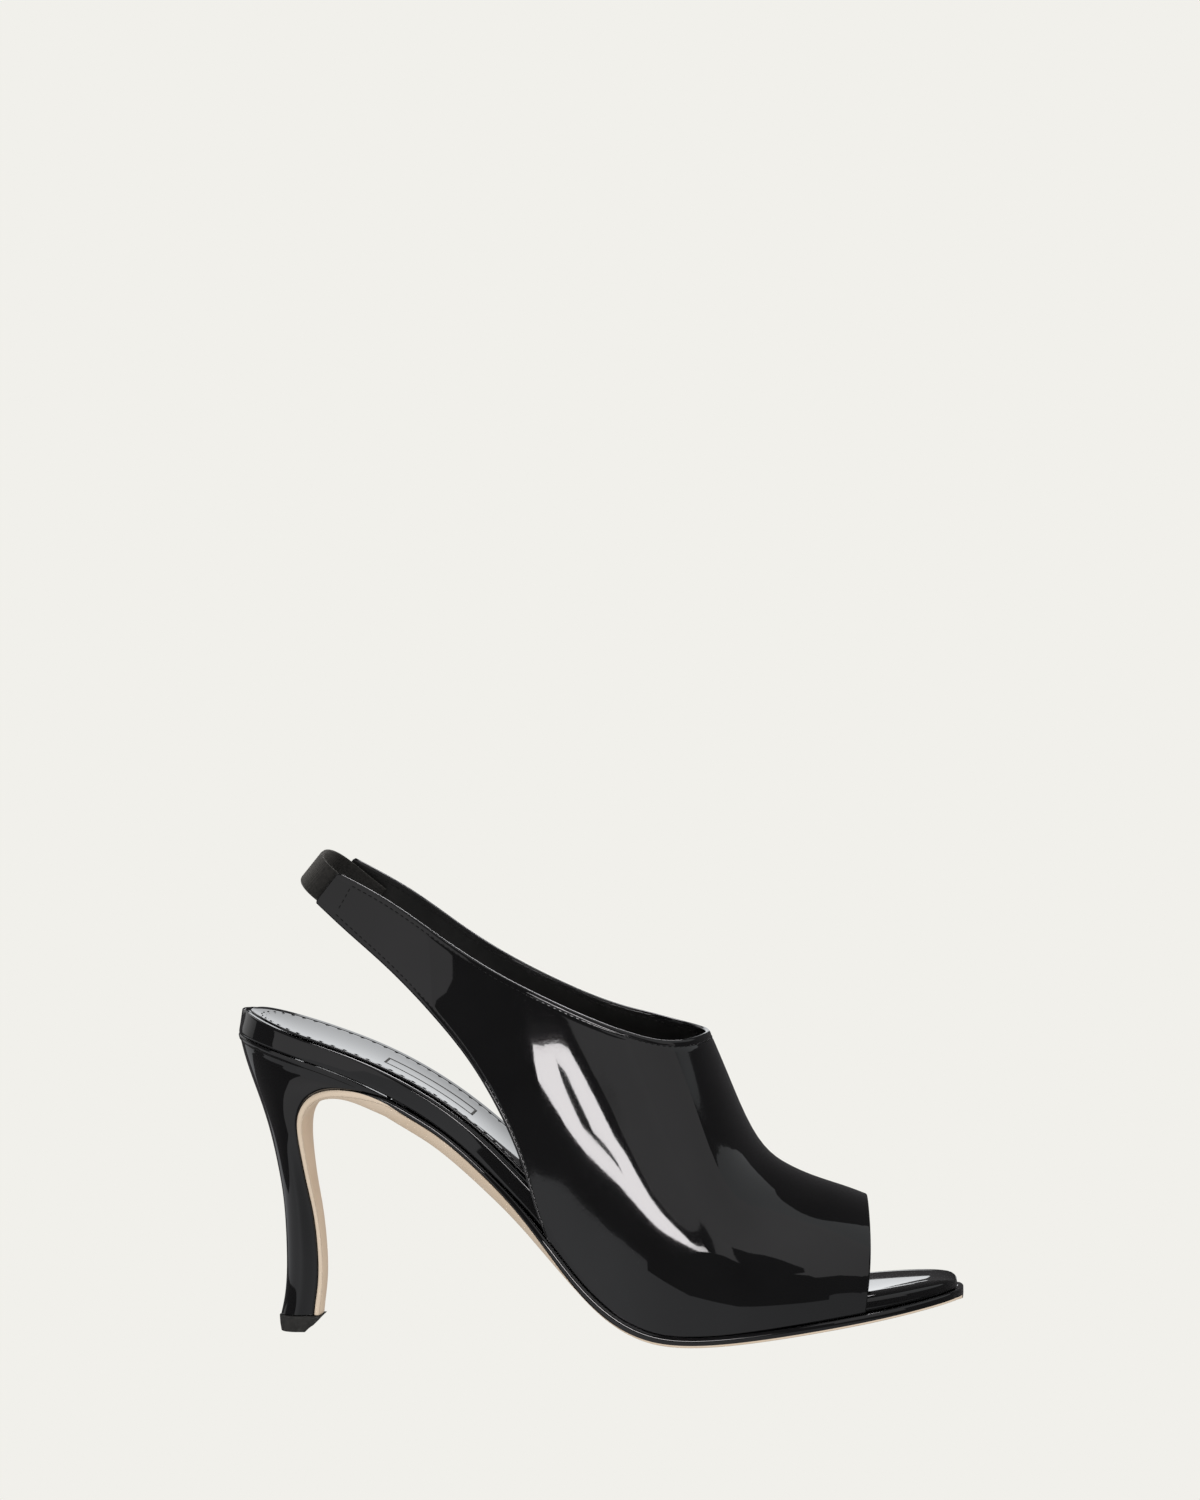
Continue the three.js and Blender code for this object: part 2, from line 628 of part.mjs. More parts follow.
add("upper", upperGeometry(), 0x08080a, 0.12);

// Back elastic: a flat band tucked inside the strap ends, bowed round behind the heel.
// It lies in the tilted plane of the strap ends.
const strapEnd = {
  top: new THREE.Vector2(strapTop, topline.lateral(strapTop)),
  foot: new THREE.Vector2(strapFoot, backEdge(strapFoot)),
};
const bandUp = strapEnd.top.clone().sub(strapEnd.foot).normalize();
const bandBack = new THREE.Vector2(-bandUp.y, bandUp.x);
const bandFrom = strapEnd.top.clone().add(strapEnd.foot).multiplyScalar(0.5);

function bandPlace(back, up) {
  return bandFrom.clone().addScaledVector(bandBack, back).addScaledVector(bandUp, up);
}
function insideStrap(back, up) {
  const p = bandPlace(back, up);
  const outer = upperPoint(p.x, turnAt(p.x, p.y));
  return Math.abs(outer.y) - upperWall - fitGap - elasticThickness / 2 - 0.15;
}
function bandLine(up) {
  const line = [];
  const tuckSteps = 4;
  const bowSteps = 14;
  for (let i = 0; i < tuckSteps; i++) {
    const back = -elasticTuck * (1 - i / tuckSteps);
    line.push([back, insideStrap(back, up)]);
  }
  const half = insideStrap(0, up);
  for (let i = 0; i <= bowSteps; i++) {
    const angle = (Math.PI * i) / bowSteps / 2;
    line.push([elasticReach * Math.pow(Math.sin(angle), 0.87), half * Math.pow(Math.cos(angle), 0.87)]);
  }
  const other = line.slice(0, -1).reverse();
  return [...line.map(([b, y]) => [b, -y]), ...other];
}
function bandEdge(up) {
  const line = bandLine(up);
  return line.map(([back, y], i) => {
    const before = line[Math.max(0, i - 1)];
    const after = line[Math.min(line.length - 1, i + 1)];
    const away = new THREE.Vector2(after[1] - before[1], before[0] - after[0]).normalize();
    return [1, -1].map((face) => {
      const offset = (face * elasticThickness) / 2;
      const p = bandPlace(back + away.x * offset, up);
      return new THREE.Vector3(p.x, y + away.y * offset, p.y);
    });
  });
}
const bandLow = bandEdge(-elasticWidth / 2);
const bandHigh = bandEdge(elasticWidth / 2);
const bandRings = bandLow.map((low, i) => [low[1], bandHigh[i][1], bandHigh[i][0], low[0]]);
add("back_elastic", loft(bandRings), 0x1a1a1b, 0.9);

export default part;
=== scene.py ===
"""Visual model of a high-heeled peep-toe slingback sandal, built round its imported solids.

Shapes are worked out in millimetres, in the frame of the solids: +X to the toe, +Y to the medial
side, +Z up, and the origin on the floor under the forefoot. Meshes are made in metres.
"""

import math
from bisect import bisect_left

import bpy
from mathutils import Matrix, Vector, noise


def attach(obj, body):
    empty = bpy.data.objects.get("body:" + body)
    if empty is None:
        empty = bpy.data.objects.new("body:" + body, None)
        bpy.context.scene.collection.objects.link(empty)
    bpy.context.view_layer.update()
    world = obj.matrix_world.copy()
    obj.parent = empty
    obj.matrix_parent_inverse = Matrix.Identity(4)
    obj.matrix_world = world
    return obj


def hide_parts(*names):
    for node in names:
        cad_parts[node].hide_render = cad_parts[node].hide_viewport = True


bl_info = {
    "name": "Slingback Sandal",
    "version": (1, 0, 0),
    "blender": (4, 5, 0),
    "location": "3D View > Sidebar > Sandal",
    "description": "Builds the surfaces, stitches, finishes and studio of a slingback sandal",
    "category": "Add Mesh",
}

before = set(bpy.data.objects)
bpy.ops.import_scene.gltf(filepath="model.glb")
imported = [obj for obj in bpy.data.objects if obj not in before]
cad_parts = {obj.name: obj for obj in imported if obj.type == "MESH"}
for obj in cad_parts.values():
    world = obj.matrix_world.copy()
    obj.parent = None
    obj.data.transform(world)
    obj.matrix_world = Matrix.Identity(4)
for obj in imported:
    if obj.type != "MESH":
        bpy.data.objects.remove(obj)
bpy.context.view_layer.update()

MM = 0.001
SIDES = ("lateral", "medial")

# Sizes of the solids, as in the part's source
TREAD_TO_HEEL = 139.5
TREAD_TO_TOE = 77.5
HEEL_RISE = 87.4
TOE_SPRING = 10.4
THROAT_RISE = 88.3
STRAP_RISE = 137.2
BALL_WIDTH = 73.6
WAIST_WIDTH = 43
SEAT_WIDTH = 48
STRAP_SPAN = 44.6
SOLE_THICKNESS = 3.6
BOARD_THICKNESS = 6.3
SOCK_THICKNESS = 0.7
UPPER_WALL = 1.5
FIT_GAP = 0.3
SOLE_LIP = 1.1
SOCK_INSET = 1.7
TOP_PIECE_HEIGHT = 5
TOP_PIECE_WIDTH = 12
ELASTIC_WIDTH = 10.5
ELASTIC_THICKNESS = 1.2
ELASTIC_TUCK = 13
ELASTIC_REACH = 7.9
FLOOR = 0
KEEL_BASE = SOLE_THICKNESS + FIT_GAP

# The first and last sections of a piece stop this short of its tips, so that they have some width
END_CUT = 0.03


# Small helpers
def mix(a, b, t):
    return a + (b - a) * t


def clamp01(t):
    return min(1.0, max(0.0, t))


def smooth(start, end, x):
    t = clamp01((x - start) / (end - start))
    return t * t * t * (t * (6 * t - 15) + 10)


def bump(x, middle, reach):
    """A rounded bump, 1 in the middle and next to nothing beyond twice the reach."""
    return math.exp(-(((x - middle) / reach) ** 2))


def spline(rows):
    """Natural cubic spline through rows (x, y), x rising, level beyond its ends."""
    xs = [row[0] for row in rows]
    ys = [row[1] for row in rows]
    count = len(rows)
    bend = [0.0] * count
    carry = [0.0] * count
    for i in range(1, count - 1):
        left = xs[i] - xs[i - 1]
        right = xs[i + 1] - xs[i]
        share = left / (left + right)
        pivot = share * bend[i - 1] + 2
        slope = (ys[i + 1] - ys[i]) / right - (ys[i] - ys[i - 1]) / left
        bend[i] = (share - 1) / pivot
        carry[i] = (6 * slope / (left + right) - share * carry[i - 1]) / pivot
    bend[-1] = 0.0
    for i in range(count - 2, -1, -1):
        bend[i] = bend[i] * bend[i + 1] + carry[i]

    def value(at):
        i = min(max(bisect_left(xs, at) - 1, 0), count - 2)
        span = xs[i + 1] - xs[i]
        b = clamp01((at - xs[i]) / span)
        a = 1 - b
        curve = (a * a * a - a) * bend[i] + (b * b * b - b) * bend[i + 1]
        return a * ys[i] + b * ys[i + 1] + curve * span * span / 6

    return value


def along(share):
    """A place along the shoe: shares of the way to the heel are negative, to the toe positive."""
    return share * (TREAD_TO_HEEL if share < 0 else TREAD_TO_TOE)


def column(rows, index, scale=1.0, offset=0.0):
    """The spline along the shoe of one column of a table whose first column is a share along it."""
    return spline([(along(row[0]), offset + row[index] * scale) for row in rows])


# The keel is the underside of the insole board: at, share of the heel's rise, share of the toe's
KEEL_ROWS = (
    (-1.0, 1.0, 0), (-0.87, 0.937, 0), (-0.74, 0.862, 0), (-0.62, 0.767, 0),
    (-0.51, 0.648, 0), (-0.42, 0.522, 0), (-0.33, 0.375, 0), (-0.24, 0.2, 0),
    (-0.16, 0.081, 0), (-0.08, 0.017, 0), (0, 0, 0), (0.2, 0, 0.09),
    (0.45, 0, 0.34), (0.72, 0, 0.65), (1.0, 0, 1.0),
)
keel_height = spline([
    (along(at), KEEL_BASE + rise * HEEL_RISE + spring * TOE_SPRING) for at, rise, spring in KEEL_ROWS
])

# Half-widths of the board: at, named width, lateral share, medial share
WIDTH_ROWS = (
    (-1.0, SEAT_WIDTH, 1.0, 1.0), (-0.82, SEAT_WIDTH, 1.0, 1.0),
    (-0.68, SEAT_WIDTH, 0.985, 0.96), (-0.56, WAIST_WIDTH, 1.1, 0.96),
    (-0.46, WAIST_WIDTH, 1.19, 0.93), (-0.36, BALL_WIDTH, 0.79, 0.61),
    (-0.25, BALL_WIDTH, 0.9, 0.76), (-0.14, BALL_WIDTH, 0.98, 0.9),
    (-0.03, BALL_WIDTH, 1.0, 0.98), (0.16, BALL_WIDTH, 0.985, 1.0), (1.0, BALL_WIDTH, 0.97, 1.0),
)
width_of = {
    "lateral": spline([(along(at), of * near / 2) for at, of, near, _ in WIDTH_ROWS]),
    "medial": spline([(along(at), of * far / 2) for at, of, _, far in WIDTH_ROWS]),
}
TOE_ROUND_FROM = along(0.14)
TOE_FULLNESS = {"lateral": 2.15, "medial": 2.5}
TOE_LEAN = 3


def end_round(distance, reach, power):
    return (1 - (1 - clamp01(distance / reach)) ** power) ** (1 / power)


def half_width(side, x, grow=0.0):
    seat = end_round(x + TREAD_TO_HEEL + grow, SEAT_WIDTH / 2 + grow, 2)
    tip = TREAD_TO_TOE + grow
    toe = end_round(tip - x, tip - TOE_ROUND_FROM, TOE_FULLNESS[side])
    return (width_of[side](x) + grow) * seat * toe


def middle(x):
    return TOE_LEAN * clamp01((x - TOE_ROUND_FROM) / (TREAD_TO_TOE - TOE_ROUND_FROM)) ** 2


class Section:
    """A place on a line in side view, with the direction that is up from it."""

    def __init__(self, x, z, forward):
        self.x, self.z = x, z
        self.forward = forward.normalized()
        self.up = Vector((-self.forward.y, self.forward.x))

    def point(self, side, up):
        return Vector((self.x + self.up.x * up, side, self.z + self.up.y * up))


def keel_section(x):
    step = 0.5
    rise = keel_height(x + step) - keel_height(x - step)
    return Section(x, keel_height(x), Vector((2 * step, rise)))


def stations(start, end, count):
    return [mix(start, end, (1 - math.cos(math.pi * i / count)) / 2) for i in range(count + 1)]


# Insole board: at, thickness as a share, how widely and how deeply its upper edge rolls over
BOARD_ROWS = (
    (-1.0, 1.19, 1.4, 0.9), (-0.9, 1.02, 1.4, 1.2), (-0.75, 1.0, 1.5, 1.3), (-0.3, 1.0, 1.6, 1.5),
    (0.3, 0.9, 3.6, 2.2), (0.7, 0.93, 7.5, 3.0), (1.0, 0.74, 8.0, 2.9),
)
BOARD_DISH = 1.1
BOARD_LOWER_EDGE = 0.9
board_thick = column(BOARD_ROWS, 1, BOARD_THICKNESS)
edge_wide = column(BOARD_ROWS, 2)
edge_deep = column(BOARD_ROWS, 3)


def board_top(x, inset, half):
    """Height of the board's top above the keel, so far in from its wall."""
    to_tip = min(x + TREAD_TO_HEEL, TREAD_TO_TOE - x)
    roll = min(end_round(to_tip, edge_wide(x), 2), end_round(inset, edge_wide(x), 2))
    hollow = BOARD_DISH * (1 - (1 - clamp01(inset / half)) ** 2)
    return board_thick(x) - edge_deep(x) * (1 - roll) - hollow


def signed(side, distance):
    return -distance if side == "lateral" else distance


def board_ring(x):
    here = keel_section(x)
    middle_half = (half_width("lateral", x) + half_width("medial", x)) / 2

    def points(side):
        half = half_width(side, x)
        roll = min(edge_wide(x), 0.6 * half)
        low = min(BOARD_LOWER_EDGE, 0.3 * half)
        insets = [(0.5 * half, 0.0)]
        for a in (0, 0.4, 0.8, 1.2, math.pi / 2):
            insets.append((low * (1 - math.sin(a)), low * (1 - math.cos(a))))
        wall = board_top(x, 0, half)
        insets += [(0.0, mix(low, wall, t)) for t in (0.25, 0.5, 0.75)]
        for step in range(10):
            inset = roll * (1 - math.cos(math.pi * step / 18))
            insets.append((inset, board_top(x, inset, half)))
        for step in range(1, 12):
            inset = mix(roll, half, step / 12)
            insets.append((inset, board_top(x, inset, half)))
        return [here.point(middle(x) + signed(side, half - i), up) for i, up in insets]

    centre = here.point(middle(x), board_top(x, middle_half, middle_half))
    return points("lateral") + [centre] + points("medial")[::-1]


SOCK_FRONT = along(0.1)
SOCK_GAP = 1.2 * FIT_GAP


def sock_surface(side, x, y):
    """A point of the sock's upper face, so far from the middle."""
    full = half_width(side, x)
    up = board_top(x, full - y, full) + SOCK_GAP + SOCK_THICKNESS
    return keel_section(x).point(middle(x) + signed(side, y), up)


# Heel breast: at, rise, half-width as a share of the seat's, leather edge and crown on it
BREAST_ROWS = (
    (-0.618, 0.768, 0.965, 2.0, 6.0), (-0.66, 0.795, 0.955, 2.0, 5.7),
    (-0.705, 0.814, 0.94, 2.0, 4.7), (-0.75, 0.823, 0.91, 2.0, 3.1),
    (-0.79, 0.82, 0.86, 2.0, 2.0), (-0.825, 0.8, 0.79, 1.9, 1.3),
    (-0.85, 0.762, 0.7, 1.75, 0.9), (-0.864, 0.71, 0.6, 1.6, 0.7),
    (-0.866, 0.65, 0.5, 1.5, 0.5), (-0.861, 0.578, 0.41, 1.4, 0.3),
    (-0.851, 0.48, 0.335, 1.3, 0.2), (-0.8395, 0.385, 0.285, 1.25, 0.2),
    (-0.832, 0.29, 0.258, 1.3, 0.2), (-0.829, 0.2, 0.247, 1.4, 0.2),
    (-0.831, 0.12, 0.243, 1.5, 0.3), (-0.837, 0.05, 0.241, 1.6, 0.4), (-0.84, 0, 0.241, 1.6, 0.4),
)
BREAST_END = len(BREAST_ROWS) - 1
breast_columns = [spline([(k, row[i]) for k, row in enumerate(BREAST_ROWS)]) for i in range(5)]
TIP_TOP = TOP_PIECE_HEIGHT + FIT_GAP
SEAT_GAP = 1.3 * FIT_GAP
WAIST_INSET = 0.5
BREAST_TURN = 6


def seat_at(x):
    return keel_height(x) - SEAT_GAP


class BreastPlace:
    """A place on the heel's breast. step: how far down it is, counted in rows of the table."""

    def __init__(self, step):
        at, rise, shaft, self.edge, self.crown = [value(step) for value in breast_columns]
        self.step = step
        self.x = at * TREAD_TO_HEEL
        self.z = min(seat_at(self.x), max(TIP_TOP, KEEL_BASE + rise * HEEL_RISE))
        self.half = {}
        for side in SIDES:
            waist = half_width(side, self.x) - WAIST_INSET
            self.half[side] = mix(waist, shaft * SEAT_WIDTH / 2, smooth(0, BREAST_TURN, step))


BREAST_CELLS = 8
breast = [BreastPlace(i / BREAST_CELLS) for i in range(BREAST_END * BREAST_CELLS + 1)]

# Heel back: up, at, rounding and half-width as shares of the seat's half
BACK_ROWS = (
    (0, 0.914, 0.25, 0.26), (0.05, 0.9075, 0.25, 0.258), (0.13, 0.902, 0.25, 0.262),
    (0.22, 0.9008, 0.26, 0.275), (0.33, 0.9025, 0.27, 0.3), (0.43, 0.9068, 0.29, 0.335),
    (0.55, 0.918, 0.33, 0.4), (0.67, 0.934, 0.42, 0.51), (0.76, 0.9505, 0.54, 0.65),
    (0.84, 0.9685, 0.69, 0.79), (0.92, 0.986, 0.85, 0.91), (1.0, 0.999, 0.99, 0.985),
)
back_of = spline([(row[0], -row[1] * TREAD_TO_HEEL) for row in BACK_ROWS])
round_of = spline([(row[0], row[2] * SEAT_WIDTH / 2) for row in BACK_ROWS])
half_of = spline([(row[0], row[3] * SEAT_WIDTH / 2) for row in BACK_ROWS])
HEEL_SIDE_STEPS = 30
SEAT_INSET = 0.35


def heel_outline(back, front, half, front_half, rounding, height, limit=None):
    """A D-shaped ring: round at the back, straight across the front."""

    def point(side, i):
        x = front + (back - front) * math.sin(math.pi * i / HEEL_SIDE_STEPS / 2)
        share = (front - x) / (front - back)
        y = mix(front_half[side], half, smooth(0, 0.6, share)) * end_round(x - back, rounding, 2)
        if limit:
            y = min(y, limit(side, x))
        return Vector((x, signed(side, y), height(x)))

    lateral = [point("lateral", i) for i in range(HEEL_SIDE_STEPS + 1)]
    medial = [point("medial", i) for i in range(HEEL_SIDE_STEPS)]
    return lateral + medial[::-1]


def heel_ring(place):
    up = clamp01((place.z - TIP_TOP) / (seat_at(place.x) - TIP_TOP))
    half = max(place.half["lateral"], half_of(up))

    def height(x):
        return TIP_TOP + up * (seat_at(x) - TIP_TOP)

    def limit(side, x):
        return max(0.0, half_width(side, max(x, 1e-3 - TREAD_TO_HEEL)) - SEAT_INSET)

    return heel_outline(back_of(up), place.x, half, place.half, round_of(up), height, limit)


TIP_BACK = -0.9175 * TREAD_TO_HEEL
TIP_FRONT = -0.8195 * TREAD_TO_HEEL
TIP_BEVEL = 5.4

# Outsole: at, height of its upright edge, how far its underside bulges below that
SOLE_ROWS = (
    (-0.62, 2.0, 6.0), (-0.44, 2.0, 6.0), (-0.3, 2.1, 4.8), (-0.2, 2.5, 2.4),
    (-0.1, 2.9, 1.1), (0.0, 2.95, 1.0), (0.4, 2.9, 0.9), (1.03, 2.6, 0.6),
)
sole_edge = column(SOLE_ROWS, 1)
sole_crown = column(SOLE_ROWS, 2)
SOLE_TIP = TREAD_TO_TOE + 1.8
WEDGE_REACH = 14
BREAST_CLEAR = 1.2


def sole_grow(x):
    to_tip = smooth(along(0.65), TREAD_TO_TOE, x)
    lip = mix(FIT_GAP + UPPER_WALL + SOLE_LIP, SOLE_TIP - TREAD_TO_TOE, to_tip)
    return mix(-WAIST_INSET, lip, smooth(along(-0.45), along(-0.27), x))


NOT_ON_HEEL = -1.0


class SolePlace:
    """A place of the outsole's upper face in side view, with the half-widths and sizes there.

    lowest: the level that its underside stays above. on_heel: how far down the breast, in rows of its table.
    """

    def __init__(self, x, z, half, mid, edge, crown, lowest, on_heel):
        self.x, self.z, self.half, self.mid = x, z, half, mid
        self.edge, self.crown, self.lowest, self.on_heel = edge, crown, lowest, on_heel


def sole_places(cells):
    """Places from the tip to the heel, then down its breast. None is so near the bend that rings cross."""
    places = []
    for x in stations(SOLE_TIP - END_CUT, breast[0].x, cells)[:-1]:
        if x < breast[0].x + BREAST_CLEAR:
            continue
        here = keel_section(x)
        seated = smooth(breast[0].x + WEDGE_REACH, breast[0].x, x)
        top = here.point(0, -FIT_GAP - seated * SEAT_GAP * here.forward.x)
        half = {side: half_width(side, x, sole_grow(x)) for side in SIDES}
        edge, crown = sole_edge(x), sole_crown(x)
        places.append(SolePlace(top.x, top.z, half, middle(x), edge, crown, FLOOR, NOT_ON_HEEL))
    for k, place in enumerate(breast):
        before = breast[max(0, k - 1)]
        after = breast[min(len(breast) - 1, k + 1)]
        away = Vector((before.z - after.z, after.x - before.x)).normalized()
        x, z = place.x + away.x * FIT_GAP, place.z + away.y * FIT_GAP
        places.append(SolePlace(x, z, place.half, 0, place.edge, place.crown, TIP_TOP, place.step))
    return places


# Upper, in sections across the shoe: at, crown height, how pointed the section is
SECTION_ROWS = (
    (-0.82, 3.32, 1.7), (-0.55, 2.65, 1.7), (-0.32, 2.05, 1.74), (-0.17, 1.63, 1.62),
    (-0.07, 1.318, 1.42), (-0.01, 1.112, 1.3), (0.0374, 1.0, 1.24), (0.095, 0.879, 1.2),
    (0.155, 0.7485, 1.14), (0.205, 0.657, 1.08), (0.265, 0.585, 1.02), (0.34, 0.537, 0.96),
    (0.45, 0.494, 0.9), (0.58, 0.4555, 0.85), (0.72, 0.405, 0.82),
)
crown_at = column(SECTION_ROWS, 1, THROAT_RISE, KEEL_BASE)
peak_at = column(SECTION_ROWS, 2)
THROAT = along(0.0374)
SWELL = 1.5
STRAP_SPREAD = 3.6


def reach_at(side, x):
    strap = STRAP_SPAN / 2 + STRAP_SPREAD * smooth(along(-0.8), along(-0.45), x)
    full = half_width(side, x) + 1.4 * FIT_GAP + UPPER_WALL + SWELL
    return mix(strap, full, smooth(along(-0.74), along(-0.27), x))


def upper_point(x, turn):
    """The upper's outer face: turn goes from 0 at the lateral sole line to 1 at the medial one."""
    side = "lateral" if turn < 0.5 else "medial"
    angle = math.pi * turn
    lift = max(0.0, math.sin(angle))
    base = keel_height(x)
    tuck = SWELL * (1 - lift) ** 3 * smooth(along(-0.5), along(-0.3), x)
    y = -reach_at(side, x) * math.cos(angle) + (tuck if turn < 0.5 else -tuck)
    return Vector((x, middle(x) + y, base + (crown_at(x) - base) * lift ** peak_at(x)))


def upper_normal(x, turn):
    step = 1e-3
    across = upper_point(x, min(1.0, turn + step)) - upper_point(x, max(0.0, turn - step))
    ahead = upper_point(x + 0.2, turn) - upper_point(x - 0.2, turn)
    return ahead.cross(across).normalized()


def turn_at(x, z):
    base = keel_height(x)
    lift = clamp01((z - base) / (crown_at(x) - base)) ** (1 / peak_at(x))
    return math.asin(lift) / math.pi


# Topline, from the throat back to the strap's end: at, rise, how much lower the lateral side is
TOPLINE_ROWS = (
    (-0.764, 1.0088, 1.2), (-0.645, 0.9405, 0.9), (-0.53, 0.8594, 0.6), (-0.42, 0.7911, 0.7),
    (-0.33, 0.7428, 0.25), (-0.245, 0.704, 0.2), (-0.165, 0.677, 0.9), (-0.1, 0.661, 1.7),
    (-0.05, 0.651, 1.6),
)
topline = {}
for side_name in SIDES:
    dips = 1 if side_name == "lateral" else 0
    side_rows = [
        (along(at), KEEL_BASE + rise * STRAP_RISE - dips * dip) for at, rise, dip in TOPLINE_ROWS
    ]
    topline[side_name] = spline(side_rows + [(THROAT, crown_at(THROAT))])

# Back edge, from the strap's end down to the corner at the sole: at, rise
BACK_EDGE_ROWS = (
    (-0.815, 0.936), (-0.745, 0.87), (-0.675, 0.808), (-0.602, 0.738), (-0.53, 0.659),
    (-0.473, 0.586), (-0.423, 0.505), (-0.38, 0.419), (-0.351, 0.343), (-0.327, 0.265),
)
CORNER = along(-0.307)
edge_rows = [(along(at), KEEL_BASE + rise * STRAP_RISE) for at, rise in BACK_EDGE_ROWS]
back_edge = spline(edge_rows + [(CORNER, keel_height(CORNER))])
STRAP_TOP = along(-0.764)
STRAP_FOOT = along(-0.815)
TOE_EDGE_TOP = along(0.6565)
TOE_EDGE_SKEW = 3.9
TOE_EDGE_CUT = 2.0


def toe_edge_at(turn):
    angle = math.pi * turn
    return TOE_EDGE_TOP + TOE_EDGE_SKEW * math.cos(angle) - TOE_EDGE_CUT * (1 - math.sin(angle)) ** 3


# Lines across the upper's wall, each from the topline to the opposite edge
EDGE_ROUND = 0.7
SIDE_SPANS = ((76, 1.0, 0.33), (56, 0.33, 0.11), (40, 0.11, 0.0))
BOW = 0.15
LINE_START = (0, 0.25, 0.5, 0.75, 1.0, 1.25, 1.5, 1.8, 2.2, 2.8)
LINE_MIDDLE = 24


def topline_x(share):
    run = (math.hypot(share, BOW) - BOW) / (math.hypot(1, BOW) - BOW)
    return mix(THROAT, STRAP_TOP + EDGE_ROUND, run)


def turned(side, turn):
    return turn if side == "lateral" else 1 - turn


def edge_at(side, span, t):
    if span == 0:
        x = mix(CORNER, STRAP_FOOT + EDGE_ROUND, (1 - t) ** 1.35)
        return x, turned(side, turn_at(x, back_edge(x)))
    if span == 1:
        return mix(CORNER, toe_edge_at(turned(side, 0)), t), turned(side, 0)
    return toe_edge_at(turned(side, t / 2)), turned(side, t / 2)


class UpperLine:
    """One line across the wall, from the topline to the opposite edge, on the upper's outer face."""

    def __init__(self, side, span, t):
        _, start, end = SIDE_SPANS[span]
        x = topline_x(mix(start, end, t))
        self.span = span
        self.top = (x, turned(side, turn_at(x, topline[side](x))))
        self.edge = edge_at(side, span, t)
        samples = [self.place(i / 8)[0] for i in range(9)]
        self.length = sum((b - a).length for a, b in zip(samples, samples[1:]))

    def place(self, share):
        """The point and the outward normal, so far along the line."""
        x = mix(self.top[0], self.edge[0], share)
        turn = mix(self.top[1], self.edge[1], share)
        return upper_point(x, turn), upper_normal(x, turn)

    def row_distances(self):
        start = [EDGE_ROUND + d for d in LINE_START]
        end = [self.length - d for d in reversed(start)]
        between = [mix(start[-1], end[0], i / LINE_MIDDLE) for i in range(1, LINE_MIDDLE)]
        return start + between + end


def side_lines(side):
    lines = []
    for span, (cells, _, _) in enumerate(SIDE_SPANS):
        first = 0 if span == 0 else 1
        lines += [UpperLine(side, span, i / cells) for i in range(first, cells + 1)]
    return lines


upper_lines = side_lines("lateral") + side_lines("medial")[-2::-1]


# Meshes
def make_mesh(name, points, faces, finishes, face_finish=None):
    """A smooth mesh object from points in millimetres, its finishes and each face's finish."""
    mesh = bpy.data.meshes.new(name)
    mesh.from_pydata([tuple(p * MM) for p in points], [], faces)
    for finish in finishes:
        mesh.materials.append(finish)
    if face_finish:
        mesh.polygons.foreach_set("material_index", face_finish)
    mesh.polygons.foreach_set("use_smooth", [True] * len(mesh.polygons))
    mesh.validate()
    mesh.update()
    made = bpy.data.objects.new(name, mesh)
    bpy.context.scene.collection.objects.link(made)
    return made


def finish_piece(made, replaced=None):
    """Puts the piece on the shoe's body and hides the solid it stands for."""
    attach(made, "root")
    if replaced:
        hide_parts(replaced)


def ladder(base, count, flipped):
    """Faces that close a ring of points, as rungs between its two sides."""
    faces = []
    for i in range(count // 2):
        rung = [i, i + 1, count - 2 - i, count - 1 - i]
        if i + 1 >= count - 2 - i:
            rung = [i, i + 1, count - 1 - i] if i + 1 == count - 2 - i else []
        if rung:
            faces.append(tuple(base + n for n in (reversed(rung) if flipped else rung)))
    return faces


def skin(rows, count, base=0):
    """Faces over rows of points that are closed rings of equal count."""
    faces = []
    for k in range(rows - 1):
        low, high = base + k * count, base + (k + 1) * count
        for i in range(count):
            j = (i + 1) % count
            faces.append((low + i, high + i, high + j, low + j))
    return faces


def lofted_piece(name, rings, finishes, replaced, finish_of=None):
    """A piece with a skin over its rings, closed at both ends. finish_of: which finish a face has."""
    count = len(rings[0])
    faces = skin(len(rings), count)
    finish = [finish_of(*divmod(n, count)) if finish_of else 0 for n in range(len(faces))]
    caps = ladder(0, count, False) + ladder((len(rings) - 1) * count, count, True)
    finish += [finish[0]] * (len(caps) // 2) + [finish[-1]] * (len(caps) - len(caps) // 2)
    points = [p for ring in rings for p in ring]
    finish_piece(make_mesh(name, points, faces + caps, finishes, finish), replaced)


def waver(point, reach, height):
    """A small, slow rise and fall of a hand-made surface."""
    return height * noise.noise(point / reach)


def measured(path):
    """The point and normal at any distance along a path of (point, normal), and the path's length."""
    marks = [0.0]
    for (a, _), (b, _) in zip(path, path[1:]):
        marks.append(marks[-1] + (b - a).length)

    def at(distance):
        i = min(max(bisect_left(marks, distance) - 1, 0), len(path) - 2)
        t = (distance - marks[i]) / max(1e-9, marks[i + 1] - marks[i])
        return path[i][0].lerp(path[i + 1][0], t), path[i][1].lerp(path[i + 1][1], t).normalized()

    return at, marks[-1]


# Stitches: places along one, sides of its thread, its half-thickness at the ends and what the middle adds,
# how high its middle arches and how deep its ends lie, as shares of the thread, and a step along the path
STITCH_STEPS = (0.0, 0.12, 0.32, 0.5, 0.68, 0.88, 1.0)
STITCH_SIDES = 7
THREAD_END, THREAD_FULL = 0.45, 0.55
STITCH_ARCH, STITCH_SINK = 0.55, 0.42
PATH_STEP = 0.05


